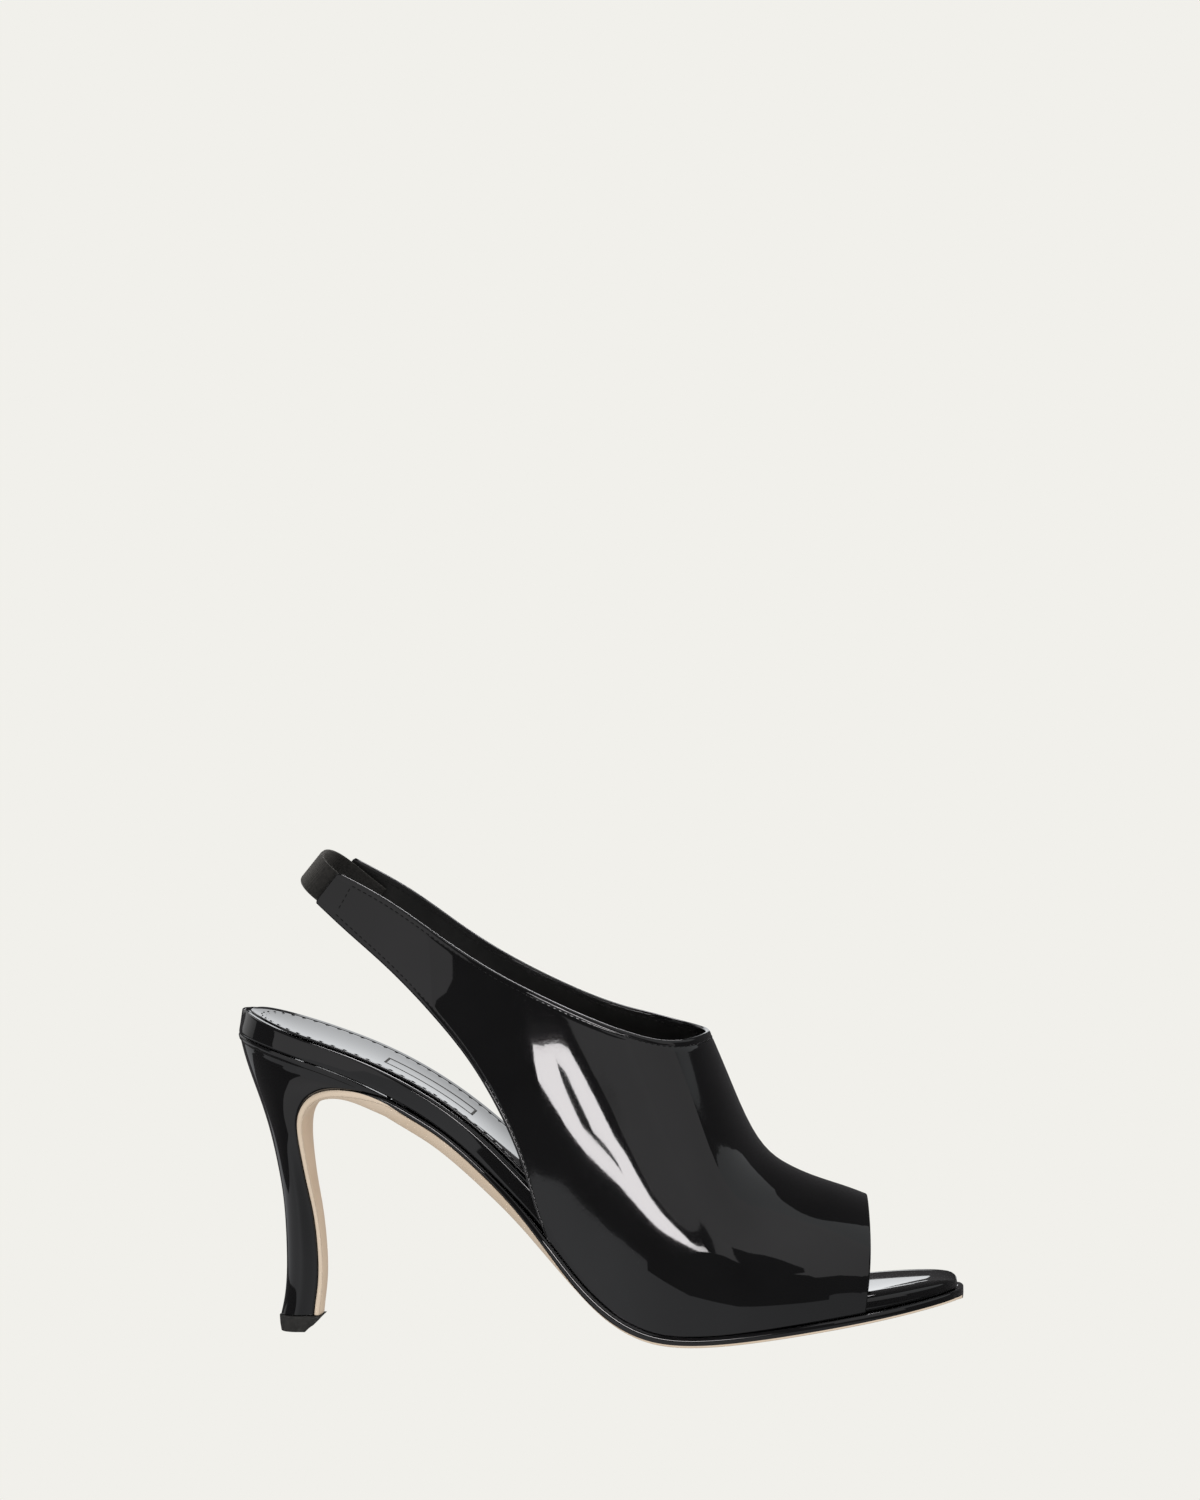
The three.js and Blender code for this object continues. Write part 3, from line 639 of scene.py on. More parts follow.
def stitches(name, paths, pitch, length, thickness, finish):
    """Rows of stitches along paths of (point, normal): short threads whose ends dip into the leather.

    pitch: from one stitch to the next. length: of the thread between two holes.
    """
    points = []
    faces = []
    for path in paths:
        at, total = measured(path)
        for n in range(int((total - length) / pitch) + 1):
            base = len(points)
            for share in STITCH_STEPS:
                here = n * pitch + share * length
                place, normal = at(here)
                ahead, _ = at(min(total, here + PATH_STEP))
                behind, _ = at(max(0.0, here - PATH_STEP))
                tangent = (ahead - behind).normalized()
                across = tangent.cross(normal).normalized()
                arch = math.sin(math.pi * clamp01(share))
                radius = thickness / 2 * (THREAD_END + THREAD_FULL * arch ** 0.5)
                centre = place + normal * thickness * (STITCH_ARCH * arch - STITCH_SINK)
                for s in range(STITCH_SIDES):
                    turn = 2 * math.pi * s / STITCH_SIDES
                    points.append(centre + (across * math.cos(turn) + normal * math.sin(turn)) * radius)
            faces += skin(len(STITCH_STEPS), STITCH_SIDES, base)
            faces.append(tuple(range(base, base + STITCH_SIDES)))
            faces.append(tuple(reversed(range(len(points) - STITCH_SIDES, len(points)))))
    finish_piece(make_mesh(name, points, faces, [finish]))


# Finishes
def new_finish(name):
    finish = bpy.data.materials.new(name)
    finish.use_nodes = True
    shader = finish.node_tree.nodes["Principled BSDF"]
    return finish, finish.node_tree, shader


def set_inputs(node, **values):
    for name, value in values.items():
        node.inputs[name.replace("_", " ")].default_value = value


def texture_node(tree, kind, output, **values):
    """A texture in the piece's own coordinates."""
    node = tree.nodes.new("ShaderNodeTex" + kind)
    set_inputs(node, **values)
    tree.links.new(tree.nodes.new("ShaderNodeTexCoord").outputs["Object"], node.inputs["Vector"])
    return node.outputs[output]


def noise_node(tree, scale, detail=2.0, roughness=0.5):
    return texture_node(tree, "Noise", "Fac", Scale=scale, Detail=detail, Roughness=roughness)


def colour_by(tree, shader, source, *stops):
    """Colours the surface by a ramp over a source. stops: (position, colour)."""
    node = tree.nodes.new("ShaderNodeValToRGB")
    while len(node.color_ramp.elements) < len(stops):
        node.color_ramp.elements.new(0.5)
    for element, (position, colour) in zip(node.color_ramp.elements, stops):
        element.position = position
        element.color = (*colour, 1)
    tree.links.new(source, node.inputs["Fac"])
    tree.links.new(node.outputs["Color"], shader.inputs["Base Color"])


def roughness_by(tree, shader, source, low, high):
    """Varies the roughness with a source, from low to high."""
    node = tree.nodes.new("ShaderNodeMapRange")
    set_inputs(node, From_Min=0.0, From_Max=1.0, To_Min=low, To_Max=high)
    tree.links.new(source, node.inputs["Value"])
    tree.links.new(node.outputs["Result"], shader.inputs["Roughness"])


def add_bumps(tree, shader, *bumps):
    """Chains bumps (height source, distance in mm, strength) into the shader's normal."""
    previous = None
    for source, distance, strength in bumps:
        node = tree.nodes.new("ShaderNodeBump")
        set_inputs(node, Distance=distance * MM, Strength=strength)
        tree.links.new(source, node.inputs["Height"])
        if previous:
            tree.links.new(previous, node.inputs["Normal"])
        previous = node.outputs["Normal"]
    tree.links.new(previous, shader.inputs["Normal"])


def patent_finish(name, look, peel=1.0):
    """Black patent leather: a dark base under a hard clear coat with a faint peel."""
    finish, tree, shader = new_finish(name)
    darker, lighter = [tuple(c * share for c in look.patent_colour) for share in (0.8, 1.2)]
    colour_by(tree, shader, noise_node(tree, 60, 3), (0.3, darker), (0.7, lighter))
    roughness_by(tree, shader, noise_node(tree, 340, 2), 0.03, 0.065)
    set_inputs(shader, IOR=1.5, Coat_Weight=1.0, Coat_Roughness=0.02, Coat_IOR=1.45)
    slow = (noise_node(tree, 55, 1), look.patent_wave * peel, 0.5)
    fine = (noise_node(tree, 900, 2), 0.012 * peel, 0.25)
    add_bumps(tree, shader, slow, fine)
    return finish


def lining_finish():
    """Smooth black lining leather with a fine grain and a low sheen."""
    finish, tree, shader = new_finish("lining_leather")
    grain = texture_node(tree, "Voronoi", "Distance", Scale=1500)
    tone = noise_node(tree, 130, 3)
    colour_by(tree, shader, tone, (0.3, (0.006,) * 3), (0.75, (0.014, 0.0135, 0.013)))
    roughness_by(tree, shader, noise_node(tree, 90, 2), 0.42, 0.6)
    add_bumps(tree, shader, (grain, 0.05, 0.3), (noise_node(tree, 210, 2), 0.08, 0.25))
    return finish


def thread_finish(name, colour, roughness=0.38, shine=0.5):
    """Twisted thread: fine slanting plies."""
    finish, tree, shader = new_finish(name)
    ply = texture_node(tree, "Wave", "Fac", Scale=900, Distortion=2)
    colour_by(tree, shader, ply, (0.2, tuple(c * 0.6 for c in colour)), (0.8, colour))
    set_inputs(shader, Roughness=roughness, Specular_IOR_Level=shine)
    add_bumps(tree, shader, (ply, 0.05, 0.4))
    return finish


def sole_finish(look):
    """Pale sole leather: a soft satin face with faint mottling, fine pores and light scuffs."""
    finish, tree, shader = new_finish("sole_leather")
    base = tuple(look.sole_colour)
    darker = tuple(c * share for c, share in zip(base, (0.93, 0.9, 0.86)))
    lighter = tuple(c * share for c, share in zip(base, (1.03, 1.03, 1.04)))
    mottle = noise_node(tree, 45, 4, 0.6)
    colour_by(tree, shader, mottle, (0.25, darker), (0.55, base), (0.8, lighter))
    roughness_by(tree, shader, noise_node(tree, 260, 3), 0.36, 0.52)
    pores = texture_node(tree, "Voronoi", "Distance", Scale=2200)
    add_bumps(tree, shader, (pores, 0.03, 0.25), (mottle, 0.15, 0.15))
    return finish


def rubber_finish():
    """Dense black rubber with a fine moulded grain."""
    finish, tree, shader = new_finish("tip_rubber")
    tone = noise_node(tree, 420, 4)
    colour_by(tree, shader, tone, (0.3, (0.02, 0.0195, 0.019)), (0.75, (0.036, 0.035, 0.034)))
    roughness_by(tree, shader, noise_node(tree, 700, 3), 0.55, 0.78)
    add_bumps(tree, shader, (noise_node(tree, 1600, 3), 0.05, 0.5), (noise_node(tree, 300, 2), 0.08, 0.2))
    return finish


def elastic_finish():
    """Woven black elastic: cords along the band, with fine threads across them."""
    finish, tree, shader = new_finish("woven_elastic")
    weave = texture_node(tree, "Wave", "Fac", Scale=420, Distortion=0.8)
    weave.node.bands_direction = "Y"
    tone = noise_node(tree, 900, 3)
    colour_by(tree, shader, tone, (0.3, (0.008, 0.0075, 0.007)), (0.75, (0.02, 0.0185, 0.0175)))
    set_inputs(shader, Roughness=0.82, Sheen_Weight=0.35, Sheen_Roughness=0.5)
    set_inputs(shader, Sheen_Tint=(0.5, 0.48, 0.46, 1))
    add_bumps(tree, shader, (weave, 0.08, 0.5), (noise_node(tree, 2400, 2), 0.06, 0.5))
    return finish


# User settings
def colour_setting(name, description, default):
    return bpy.props.FloatVectorProperty(
        name=name, description=description, subtype="COLOR", size=3, min=0, max=1, default=default,
    )


def size_setting(name, description, default, low, high):
    return bpy.props.FloatProperty(name=name, description=description, default=default, min=low, max=high)


class SandalLook(bpy.types.PropertyGroup):
    """Colours of the shoe's finishes, and the height of the waves in its gloss."""

    patent_colour: colour_setting(
        "Patent colour", "Base colour of the patent leather", (0.0045, 0.0045, 0.005)
    )
    patent_wave: size_setting(
        "Patent wave", "Height of the slow waves in the gloss, in millimetres", 0.01, 0, 1
    )
    sole_colour: colour_setting("Sole colour", "Colour of the sole leather", (0.8, 0.66, 0.53))
    thread_colour: colour_setting("Thread colour", "Colour of all the threads", (0.008, 0.008, 0.0085))


class SandalStitching(bpy.types.PropertyGroup):
    """Sizes of the seams, in millimetres."""

    edge_pitch: size_setting("Edge pitch", "Length of one stitch and its gap on the upper", 1.9, 1, 5)
    edge_inset: size_setting("Edge inset", "Distance of the seams from the upper's edges", 1.75, 1, 4)
    edge_thread: size_setting("Edge thread", "Thickness of the thread on the upper", 0.34, 0.1, 1)
    sock_pitch: size_setting("Sock pitch", "Length of one stitch and its gap on the sock", 3.8, 1, 9)
    sock_inset: size_setting("Sock inset", "Distance of the sock's seam from the board's edge", 5.0, 2, 9)
    sock_thread: size_setting("Sock thread", "Thickness of the thread on the sock", 0.55, 0.1, 1)


class SandalStudio(bpy.types.PropertyGroup):
    """The floor and the lights."""

    floor_colour: colour_setting("Floor colour", "Colour of floor and backdrop", (0.88, 0.871, 0.831))
    key_power: bpy.props.FloatProperty(
        name="Key power", description="Power of the soft light above the shoe",
        unit="POWER", min=0, default=3,
    )


# Pieces
# Upper: its seam's groove, the swelling of the folded edge, slow waves as (reach, height), and the turns,
# in degrees, of the rows round its cut edge
GROOVE_DEPTH = 0.13
GROOVE_REACH = 0.32
FOLD_SWELL = 0.07
FOLD_PLACE = 0.95
FOLD_REACH = 0.5
FOLD_GRAIN = 2.2
OUTER_WAVES = (26, 0.03)
INNER_WAVES = (9, 0.05)
RIM_TURNS = (30, 60, 90, 120, 150)


class SANDAL_OT_upper(bpy.types.Operator):
    """Build the vamp and its two straps: patent outside, folded edges, lining inside"""

    bl_idname = "sandal.upper"
    bl_label = "Upper"

    def execute(self, context):
        look = context.scene.sandal_look
        inset = context.scene.sandal_stitching.edge_inset
        outer, inner = [], []
        for line in upper_lines:
            for distance in line.row_distances():
                point, normal = line.place(distance / line.length)
                to_end = line.length - distance
                near = min(distance, to_end) if line.span == 0 else distance
                uneven = 0.6 + 0.8 * noise.noise(point / FOLD_GRAIN)
                swell = FOLD_SWELL * uneven * bump(near, FOLD_PLACE, FOLD_REACH)
                groove = GROOVE_DEPTH * bump(near, inset, GROOVE_REACH)
                outer.append(point + normal * (swell - groove + waver(point, *OUTER_WAVES)))
                inner.append(point - normal * (UPPER_WALL + waver(point, *INNER_WAVES)))
        across = len(upper_lines[0].row_distances())
        down = len(upper_lines)
        shift = len(outer)
        points = outer + inner
        faces, finish = [], []
        for i in range(down - 1):
            for j in range(across - 1):
                a, b = i * across + j, i * across + j + 1
                c, d = (i + 1) * across + j + 1, (i + 1) * across + j
                faces += [(a, b, c, d), (shift + a, shift + d, shift + c, shift + b)]
                finish += [0, 1]
        rim = [i * across for i in range(down)]
        rim += [(down - 1) * across + j for j in range(1, across)]
        rim += [i * across + across - 1 for i in range(down - 2, -1, -1)]
        rim += [j for j in range(across - 2, 0, -1)]
        rows = [rim]
        for angle in RIM_TURNS:
            row = []
            for n, index in enumerate(rim):
                tangent = outer[rim[(n + 1) % len(rim)]] - outer[rim[n - 1]]
                wall = (outer[index] - inner[index]) / 2
                centre = (outer[index] + inner[index]) / 2
                away = wall.cross(tangent).normalized() * EDGE_ROUND
                turn = math.radians(angle)
                row.append(len(points))
                points.append(centre + wall * math.cos(turn) + away * math.sin(turn))
            rows.append(row)
        rows.append([shift + index for index in rim])
        for low, high in zip(rows, rows[1:]):
            for n in range(len(rim)):
                m = (n + 1) % len(rim)
                faces.append((low[n], low[m], high[m], high[n]))
                finish.append(0)
        patent = patent_finish("upper_patent", look)
        made = make_mesh("upper_leather", points, faces, [patent, lining_finish()], finish)
        finish_piece(made, "upper")
        return {"FINISHED"}


# Seams of the upper: lines at the straps' ends that they leave out, how deep they lie in their groove,
# cells of the seam across a strap's end, and a stitch as a share of its pitch
SEAM_START = 4
SEAM_DEPTH = 0.8
END_SEAM_CELLS = 12
EDGE_STITCH = 0.74


def seam_path(lines, inset, from_top, face):
    """A seam that follows the edges of these lines, so far in. face: 1 on the outside, -1 on the lining."""
    path = []
    for line in lines:
        share = inset / line.length
        point, normal = line.place(share if from_top else 1 - share)
        down = GROOVE_DEPTH * SEAM_DEPTH if face > 0 else UPPER_WALL
        path.append((point - normal * down, normal * face))
    return path


class SANDAL_OT_upper_seams(bpy.types.Operator):
    """Sew the seams along the topline, the back edges and the strap ends"""

    bl_idname = "sandal.upper_seams"
    bl_label = "Upper seams"

    def execute(self, context):
        sizes = context.scene.sandal_stitching
        thread = thread_finish("edge_thread", tuple(context.scene.sandal_look.thread_colour))
        collar = upper_lines[SEAM_START:-SEAM_START]
        backs = [line for line in upper_lines[SEAM_START:] if line.span == 0]
        lateral = [line for line in backs if line.top[1] < 0.5]
        medial = [line for line in backs if line.top[1] > 0.5][:-SEAM_START]
        paths = []
        for face in (1, -1):
            paths.append(seam_path(collar, sizes.edge_inset, True, face))
            paths.append(seam_path(lateral, sizes.edge_inset, False, face))
            paths.append(seam_path(medial, sizes.edge_inset, False, face))
            for line in (upper_lines[SEAM_START], upper_lines[-1 - SEAM_START]):
                end = []
                for i in range(1, END_SEAM_CELLS):
                    distance = mix(sizes.edge_inset, line.length - sizes.edge_inset, i / END_SEAM_CELLS)
                    point, normal = line.place(distance / line.length)
                    level = point if face > 0 else point - normal * UPPER_WALL
                    end.append((level, normal * face))
                paths.append(end)
        pitch = sizes.edge_pitch
        length = pitch * EDGE_STITCH
        stitches("upper_seams", paths, pitch, length, sizes.edge_thread, thread)
        return {"FINISHED"}


BOARD_CELLS = 190


class SANDAL_OT_insole_board(bpy.types.Operator):
    """Build the patent-wrapped insole board with its rolled edge"""

    bl_idname = "sandal.insole_board"
    bl_label = "Insole board"

    def execute(self, context):
        places = stations(END_CUT - TREAD_TO_HEEL, TREAD_TO_TOE - END_CUT, BOARD_CELLS)
        rings = [board_ring(x) for x in places]
        patent = patent_finish("board_patent", context.scene.sandal_look)
        lofted_piece("board_cover", rings, [patent], "insole_board")
        return {"FINISHED"}


# Sock: sections along it, rows of points in from its edge, how wide that strip is at most, how far and
# how widely the edge drops, the groove under the seam, and its peel against the other patent leather
SOCK_CELLS = 150
SOCK_STEPS = (0.0, 0.12, 0.3, 0.6, 1.0, 1.4, 1.8, 2.1, 2.3, 2.5, 2.7, 2.9, 3.2, 3.6, 4.2, 5.2)
SOCK_STEPS_FROM = 7
SOCK_DROP = 0.2
SOCK_DROP_REACH = 0.35
SOCK_GROOVE = 0.07
SOCK_GROOVE_REACH = 0.35
SOCK_PEEL = 1.6


class SANDAL_OT_sock(bpy.types.Operator):
    """Lay the glossy sock on the board, with its edge and the groove of its seam"""

    bl_idname = "sandal.sock"
    bl_label = "Sock"

    def execute(self, context):
        seam = context.scene.sandal_stitching.sock_inset - SOCK_INSET

        def ring(x):
            here = keel_section(x)

            def points(side):
                full = half_width(side, x)
                half = half_width(side, x, -SOCK_INSET)
                made = []
                for share in (0.5, 1.0):
                    y = share * half
                    up = board_top(x, full - y, full) + SOCK_GAP
                    made.append(here.point(middle(x) + signed(side, y), up))
                reach = min(1.0, half / SOCK_STEPS_FROM)
                for step in SOCK_STEPS:
                    y = half - step * reach
                    edge = SOCK_DROP * (1 - min(1.0, step / SOCK_DROP_REACH)) ** 2
                    drop = edge + SOCK_GROOVE * bump(step, seam, SOCK_GROOVE_REACH)
                    made.append(sock_surface(side, x, max(0.0, y)) - Vector((0, 0, drop)))
                for i in range(1, 12):
                    y = mix(half - SOCK_STEPS[-1] * reach, 0, i / 12)
                    made.append(sock_surface(side, x, y))
                return made

            centre = sock_surface("lateral", x, 0)
            return points("lateral") + [centre] + points("medial")[::-1]

        start = SOCK_INSET + 0.05 - TREAD_TO_HEEL
        rings = [ring(x) for x in stations(start, SOCK_FRONT, SOCK_CELLS)]
        gloss = patent_finish("sock_gloss", context.scene.sandal_look, SOCK_PEEL)
        lofted_piece("sock_lining", rings, [gloss], "sock")
        return {"FINISHED"}


# Seam of the sock: how far behind the sock's front it starts, where it turns round the heel, cells of its
# two parts and how deep it lies; then its two rows: a stitch as a share of its pitch, how far the finer
# row is from the bold one, and its thread as a share of the bold one's
SEAM_FROM_FRONT = 8
SEAM_TURN = 12
SEAM_CELLS = 60
TURN_CELLS = 20
SEAM_SINK = 0.15
BOLD_STITCH = 0.6
FINE_STITCH = 0.32
INNER_ROW = 1.3
FINE_THREAD = 0.6


def sock_up(x):
    """The direction that is up from the sock at x."""
    up = keel_section(x).up
    return Vector((up.x, 0, up.y))


def sock_seam(inset):
    """The path round the sock, from its lateral front round the heel to its medial front."""
    path = []
    end = inset + 0.02 - TREAD_TO_HEEL
    start = SOCK_FRONT - SEAM_FROM_FRONT
    xs = [mix(start, end + SEAM_TURN, i / SEAM_CELLS) for i in range(SEAM_CELLS)]
    for i in range(TURN_CELLS + 1):
        xs.append(end + SEAM_TURN * (1 - math.sin(math.pi * i / (2 * TURN_CELLS))))
    for side in SIDES:
        run = xs if side == "lateral" else xs[-2::-1]
        for x in run:
            up = sock_up(x)
            path.append((sock_surface(side, x, half_width(side, x, -inset)) - up * SEAM_SINK, up))
    return path


class SANDAL_OT_sock_seam(bpy.types.Operator):
    """Sew the border seam of the sock: a bold row and a finer one inside it"""

    bl_idname = "sandal.sock_seam"
    bl_label = "Sock seam"

    def execute(self, context):
        sizes = context.scene.sandal_stitching
        thread = thread_finish("sock_thread", tuple(context.scene.sandal_look.thread_colour), 0.9, 0.08)
        pitch = sizes.sock_pitch
        bold = sock_seam(sizes.sock_inset)
        width = sizes.sock_thread
        stitches("sock_seam", [bold], pitch, pitch * BOLD_STITCH, width, thread)
        fine = sock_seam(sizes.sock_inset + INNER_ROW)
        width *= FINE_THREAD
        stitches("sock_seam_inner", [fine], pitch, pitch * FINE_STITCH, width, thread)
        return {"FINISHED"}


# Frame in the label's place: its ends, half its width, its line, how much the line narrows it, cells of
# a side, how high the line stands and how deep its foot lies
LABEL_BACK = -97.5
LABEL_FRONT = -72
LABEL_HALF = 6
LABEL_LINE = 0.6
LABEL_NARROWS = 1.8
LABEL_CELLS = 24
LABEL_RISE = 0.06
LABEL_SINK = 0.01


class SANDAL_OT_sock_label(bpy.types.Operator):
    """Print a plain frame with nothing in it where a label sits on the sock"""

    bl_idname = "sandal.sock_label"
    bl_label = "Sock label"

    def execute(self, context):
        finish, tree, shader = new_finish("label_foil")
        tone = noise_node(tree, 500, 3)
        colour_by(tree, shader, tone, (0.3, (0.08, 0.078, 0.076)), (0.7, (0.13, 0.127, 0.124)))
        set_inputs(shader, Roughness=0.5, Specular_IOR_Level=0.2)
        corners = [(LABEL_BACK, -1), (LABEL_FRONT, -1), (LABEL_FRONT, 1), (LABEL_BACK, 1)]
        rows = []
        for rise, inset in ((0, 0), (LABEL_RISE, 0), (LABEL_RISE, LABEL_LINE), (0, LABEL_LINE)):
            row = []
            for (x, side), (x_next, side_next) in zip(corners, corners[1:] + corners[:1]):
                for i in range(LABEL_CELLS):
                    share = i / LABEL_CELLS
                    to_x = min(max(mix(x, x_next, share), LABEL_BACK + inset), LABEL_FRONT - inset)
                    to_y = mix(side, side_next, share) * (LABEL_HALF - LABEL_NARROWS * inset)
                    name = "lateral" if to_y < 0 else "medial"
                    lifted = sock_up(to_x) * (rise - LABEL_SINK)
                    row.append(sock_surface(name, to_x, abs(to_y)) + lifted)
            rows.append(row)
        count = len(rows[0])
        points = [p for row in rows for p in row]
        faces = [(a, d, c, b) for a, b, c, d in skin(len(rows), count)]
        finish_piece(make_mesh("sock_label", points, faces, [finish]))
        return {"FINISHED"}


# Heel: a point inside its seat, the lip turned under the board, how its top edge is eased and lifted to
# meet the board, and how far before the breast the lip fades
HEEL_INSIDE = -100
LIP_HEIGHT = 1.7
LIP_PROUD = 0.32
LIP_FADE = 6
TOP_EASE = 0.1
TOP_EASE_REACH = 0.3
TOP_LIFT = 0.2
TOP_LIFT_REACH = 0.8


class SANDAL_OT_heel(bpy.types.Operator):
    """Build the covered heel with the turned lip at its seat"""

    bl_idname = "sandal.heel"
    bl_label = "Heel"

    def execute(self, context):
        rings = []
        for place in reversed(breast):
            ring = heel_ring(place)
            made = []
            for n, point in enumerate(ring):
                below = seat_at(point.x) - point.z
                before, after = ring[max(0, n - 1)], ring[min(len(ring) - 1, n + 1)]
                away = Vector((after.y - before.y, before.x - after.x, 0))
                away = away.normalized() if away.length > 1e-6 else Vector((-1, 0, 0))
                if (away.x * (point.x - HEEL_INSIDE) + away.y * point.y) < 0:
                    away = -away
                lip = LIP_PROUD * smooth(0, 0.5, below)
                lip *= 1 - smooth(LIP_HEIGHT * 0.75, LIP_HEIGHT, below)
                edge = TOP_EASE * (1 - smooth(0, TOP_EASE_REACH, below))
                on_side = 1 - smooth(place.x - LIP_FADE, place.x, point.x)
                lifted = Vector((0, 0, TOP_LIFT * (1 - smooth(0, TOP_LIFT_REACH, below))))
                made.append(point + away * (lip - edge) * on_side + lifted)
            rings.append(made)
        patent = patent_finish("heel_patent", context.scene.sandal_look)
        lofted_piece("heel_cover", rings, [patent], "heel")
        return {"FINISHED"}


# Top piece: height, how far its back edge is eased, share of the front bevel, width as a share
TOP_PIECE_ROWS = (
    (0, 0.75, 1.0, 0.9), (0.06, 0.6, 1.0, 0.918), (0.2, 0.5, 0.985, 0.93), (0.8, 0.38, 0.86, 0.945),
    (1.5, 0.26, 0.7, 0.96), (2.25, 0.15, 0.5, 0.98), (3.2, 0.08, 0.34, 0.99), (4.2, 0.02, 0.15, 0.998),
    (4.75, 0.0, 0.045, 1.0), (4.92, 0.06, 0.02, 0.99), (5.0, 0.2, 0.0, 0.965),
)
TOP_PIECE_FRONT = 0.96


class SANDAL_OT_top_piece(bpy.types.Operator):
    """Build the rubber top piece with its front bevel and eased edges"""

    bl_idname = "sandal.top_piece"
    bl_label = "Top piece"

    def execute(self, context):
        rings = []
        for height, back, bevel, wide in TOP_PIECE_ROWS:
            half = wide * TOP_PIECE_WIDTH / 2
            front = {side: TOP_PIECE_FRONT * half for side in SIDES}
            ends = (TIP_BACK + back, TIP_FRONT - bevel * TIP_BEVEL)
            rings.append(heel_outline(*ends, half, front, half, lambda x, h=height: h))
        lofted_piece("heel_tip", rings, [rubber_finish()], "top_piece")
        return {"FINISHED"}


# Outsole: sections along it and cells across its underside, rows down the painted part of its edge, the
# painted share of the edge at the waist, the forefoot and the breast, and where the paint changes: along
# the shoe up to the tread line, then down the breast, in rows of its table
SOLE_CELLS = 170
UNDER_CELLS = 34
PAINTED_ROWS = (0.0, 0.08, 0.3, 0.55, 0.8, 0.94, 1.0)
BARE_ROWS = (0.35, 0.7, 1.0)
PAINT_WAIST, PAINT_FOREFOOT, PAINT_BREAST = 0.97, 0.78, 0.04
PAINT_WAIST_END = -35
PAINT_BREAST_FROM = -0.6
SOLE_PAINT_END = 3.2
# How far its edge bulges on the sole and on the breast, how wide the sole has to be for that, and how far
# the edge's corners are eased
SOLE_BEAD, BREAST_BEAD = 0.28, 0.05
BEAD_FULL_FROM = 6
CORNER_EASE = 0.35


class SANDAL_OT_outsole(bpy.types.Operator):
    """Build the leather sole, black at its edge and pale below, and its flap down the breast"""

    bl_idname = "sandal.outsole"
    bl_label = "Outsole"

    def execute(self, context):
        places = sole_places(SOLE_CELLS)
        shares = [-math.cos(math.pi * i / UNDER_CELLS) for i in range(1, UNDER_CELLS)]

        def ring(k):
            here = places[k]
            before, after = places[max(0, k - 1)], places[min(len(places) - 1, k + 1)]
            section = Section(here.x, here.z, Vector((before.x - after.x, before.z - after.z)))

            def point(share, down, out=0.0):
                half = here.half["lateral" if share < 0 else "medial"] + out
                made = section.point(here.mid + share * half, -down)
                made.z = max(here.lowest, made.z)
                return made

            def wall(sign):
                full = smooth(0, BEAD_FULL_FROM, min(here.half.values()))
                bead = mix(SOLE_BEAD, BREAST_BEAD, smooth(1, 4, here.on_heel))
                down_breast = smooth(PAINT_BREAST_FROM, SOLE_PAINT_END, here.on_heel)
                paint = mix(PAINT_WAIST, PAINT_FOREFOOT, smooth(PAINT_WAIST_END, 0, here.x))
                paint = mix(paint, PAINT_BREAST, down_breast)
                made = []
                for t in [paint * t for t in PAINTED_ROWS] + [mix(paint, 1, t) for t in BARE_ROWS]:
                    out = bead * (1 - (2 * t - 1) ** 2) - CORNER_EASE * (2 * t - 1) ** 8
                    made.append(point(sign, t * here.edge, out * full))
                return made

            under = [point(s, here.edge + here.crown * (1 - abs(s) ** 2.4)) for s in shares]
            return [point(-0.5, 0)] + wall(-1) + under + wall(1)[::-1] + [point(0.5, 0)]

        rings = [ring(k) for k in range(len(places))]
        count = len(rings[0])

        def finish_of(k, i):
            on_wall = i < len(PAINTED_ROWS) or i > count - 2 - len(PAINTED_ROWS)
            return 1 if on_wall and places[k].on_heel < SOLE_PAINT_END else 0

        look = context.scene.sandal_look
        finishes = [sole_finish(look), patent_finish("edge_paint", look, 0.8)]
        lofted_piece("leather_sole", rings, finishes, "outsole", finish_of)
        return {"FINISHED"}


# Elastic: cells across its ribs, of its tucked end and of half its bow, the bow's roundness, its distance
# from the upper's lining, and how wide and how deep its long edges are eased
RIB_PITCH = 0.75
RIB_HEIGHT = 0.05
RIB_CELLS = 56
TUCK_CELLS = 12
BOW_CELLS = 40
BOW_POWER = 0.87
ELASTIC_CLEAR = 0.15
ELASTIC_EASE_REACH = 0.45
ELASTIC_EASE = 0.55


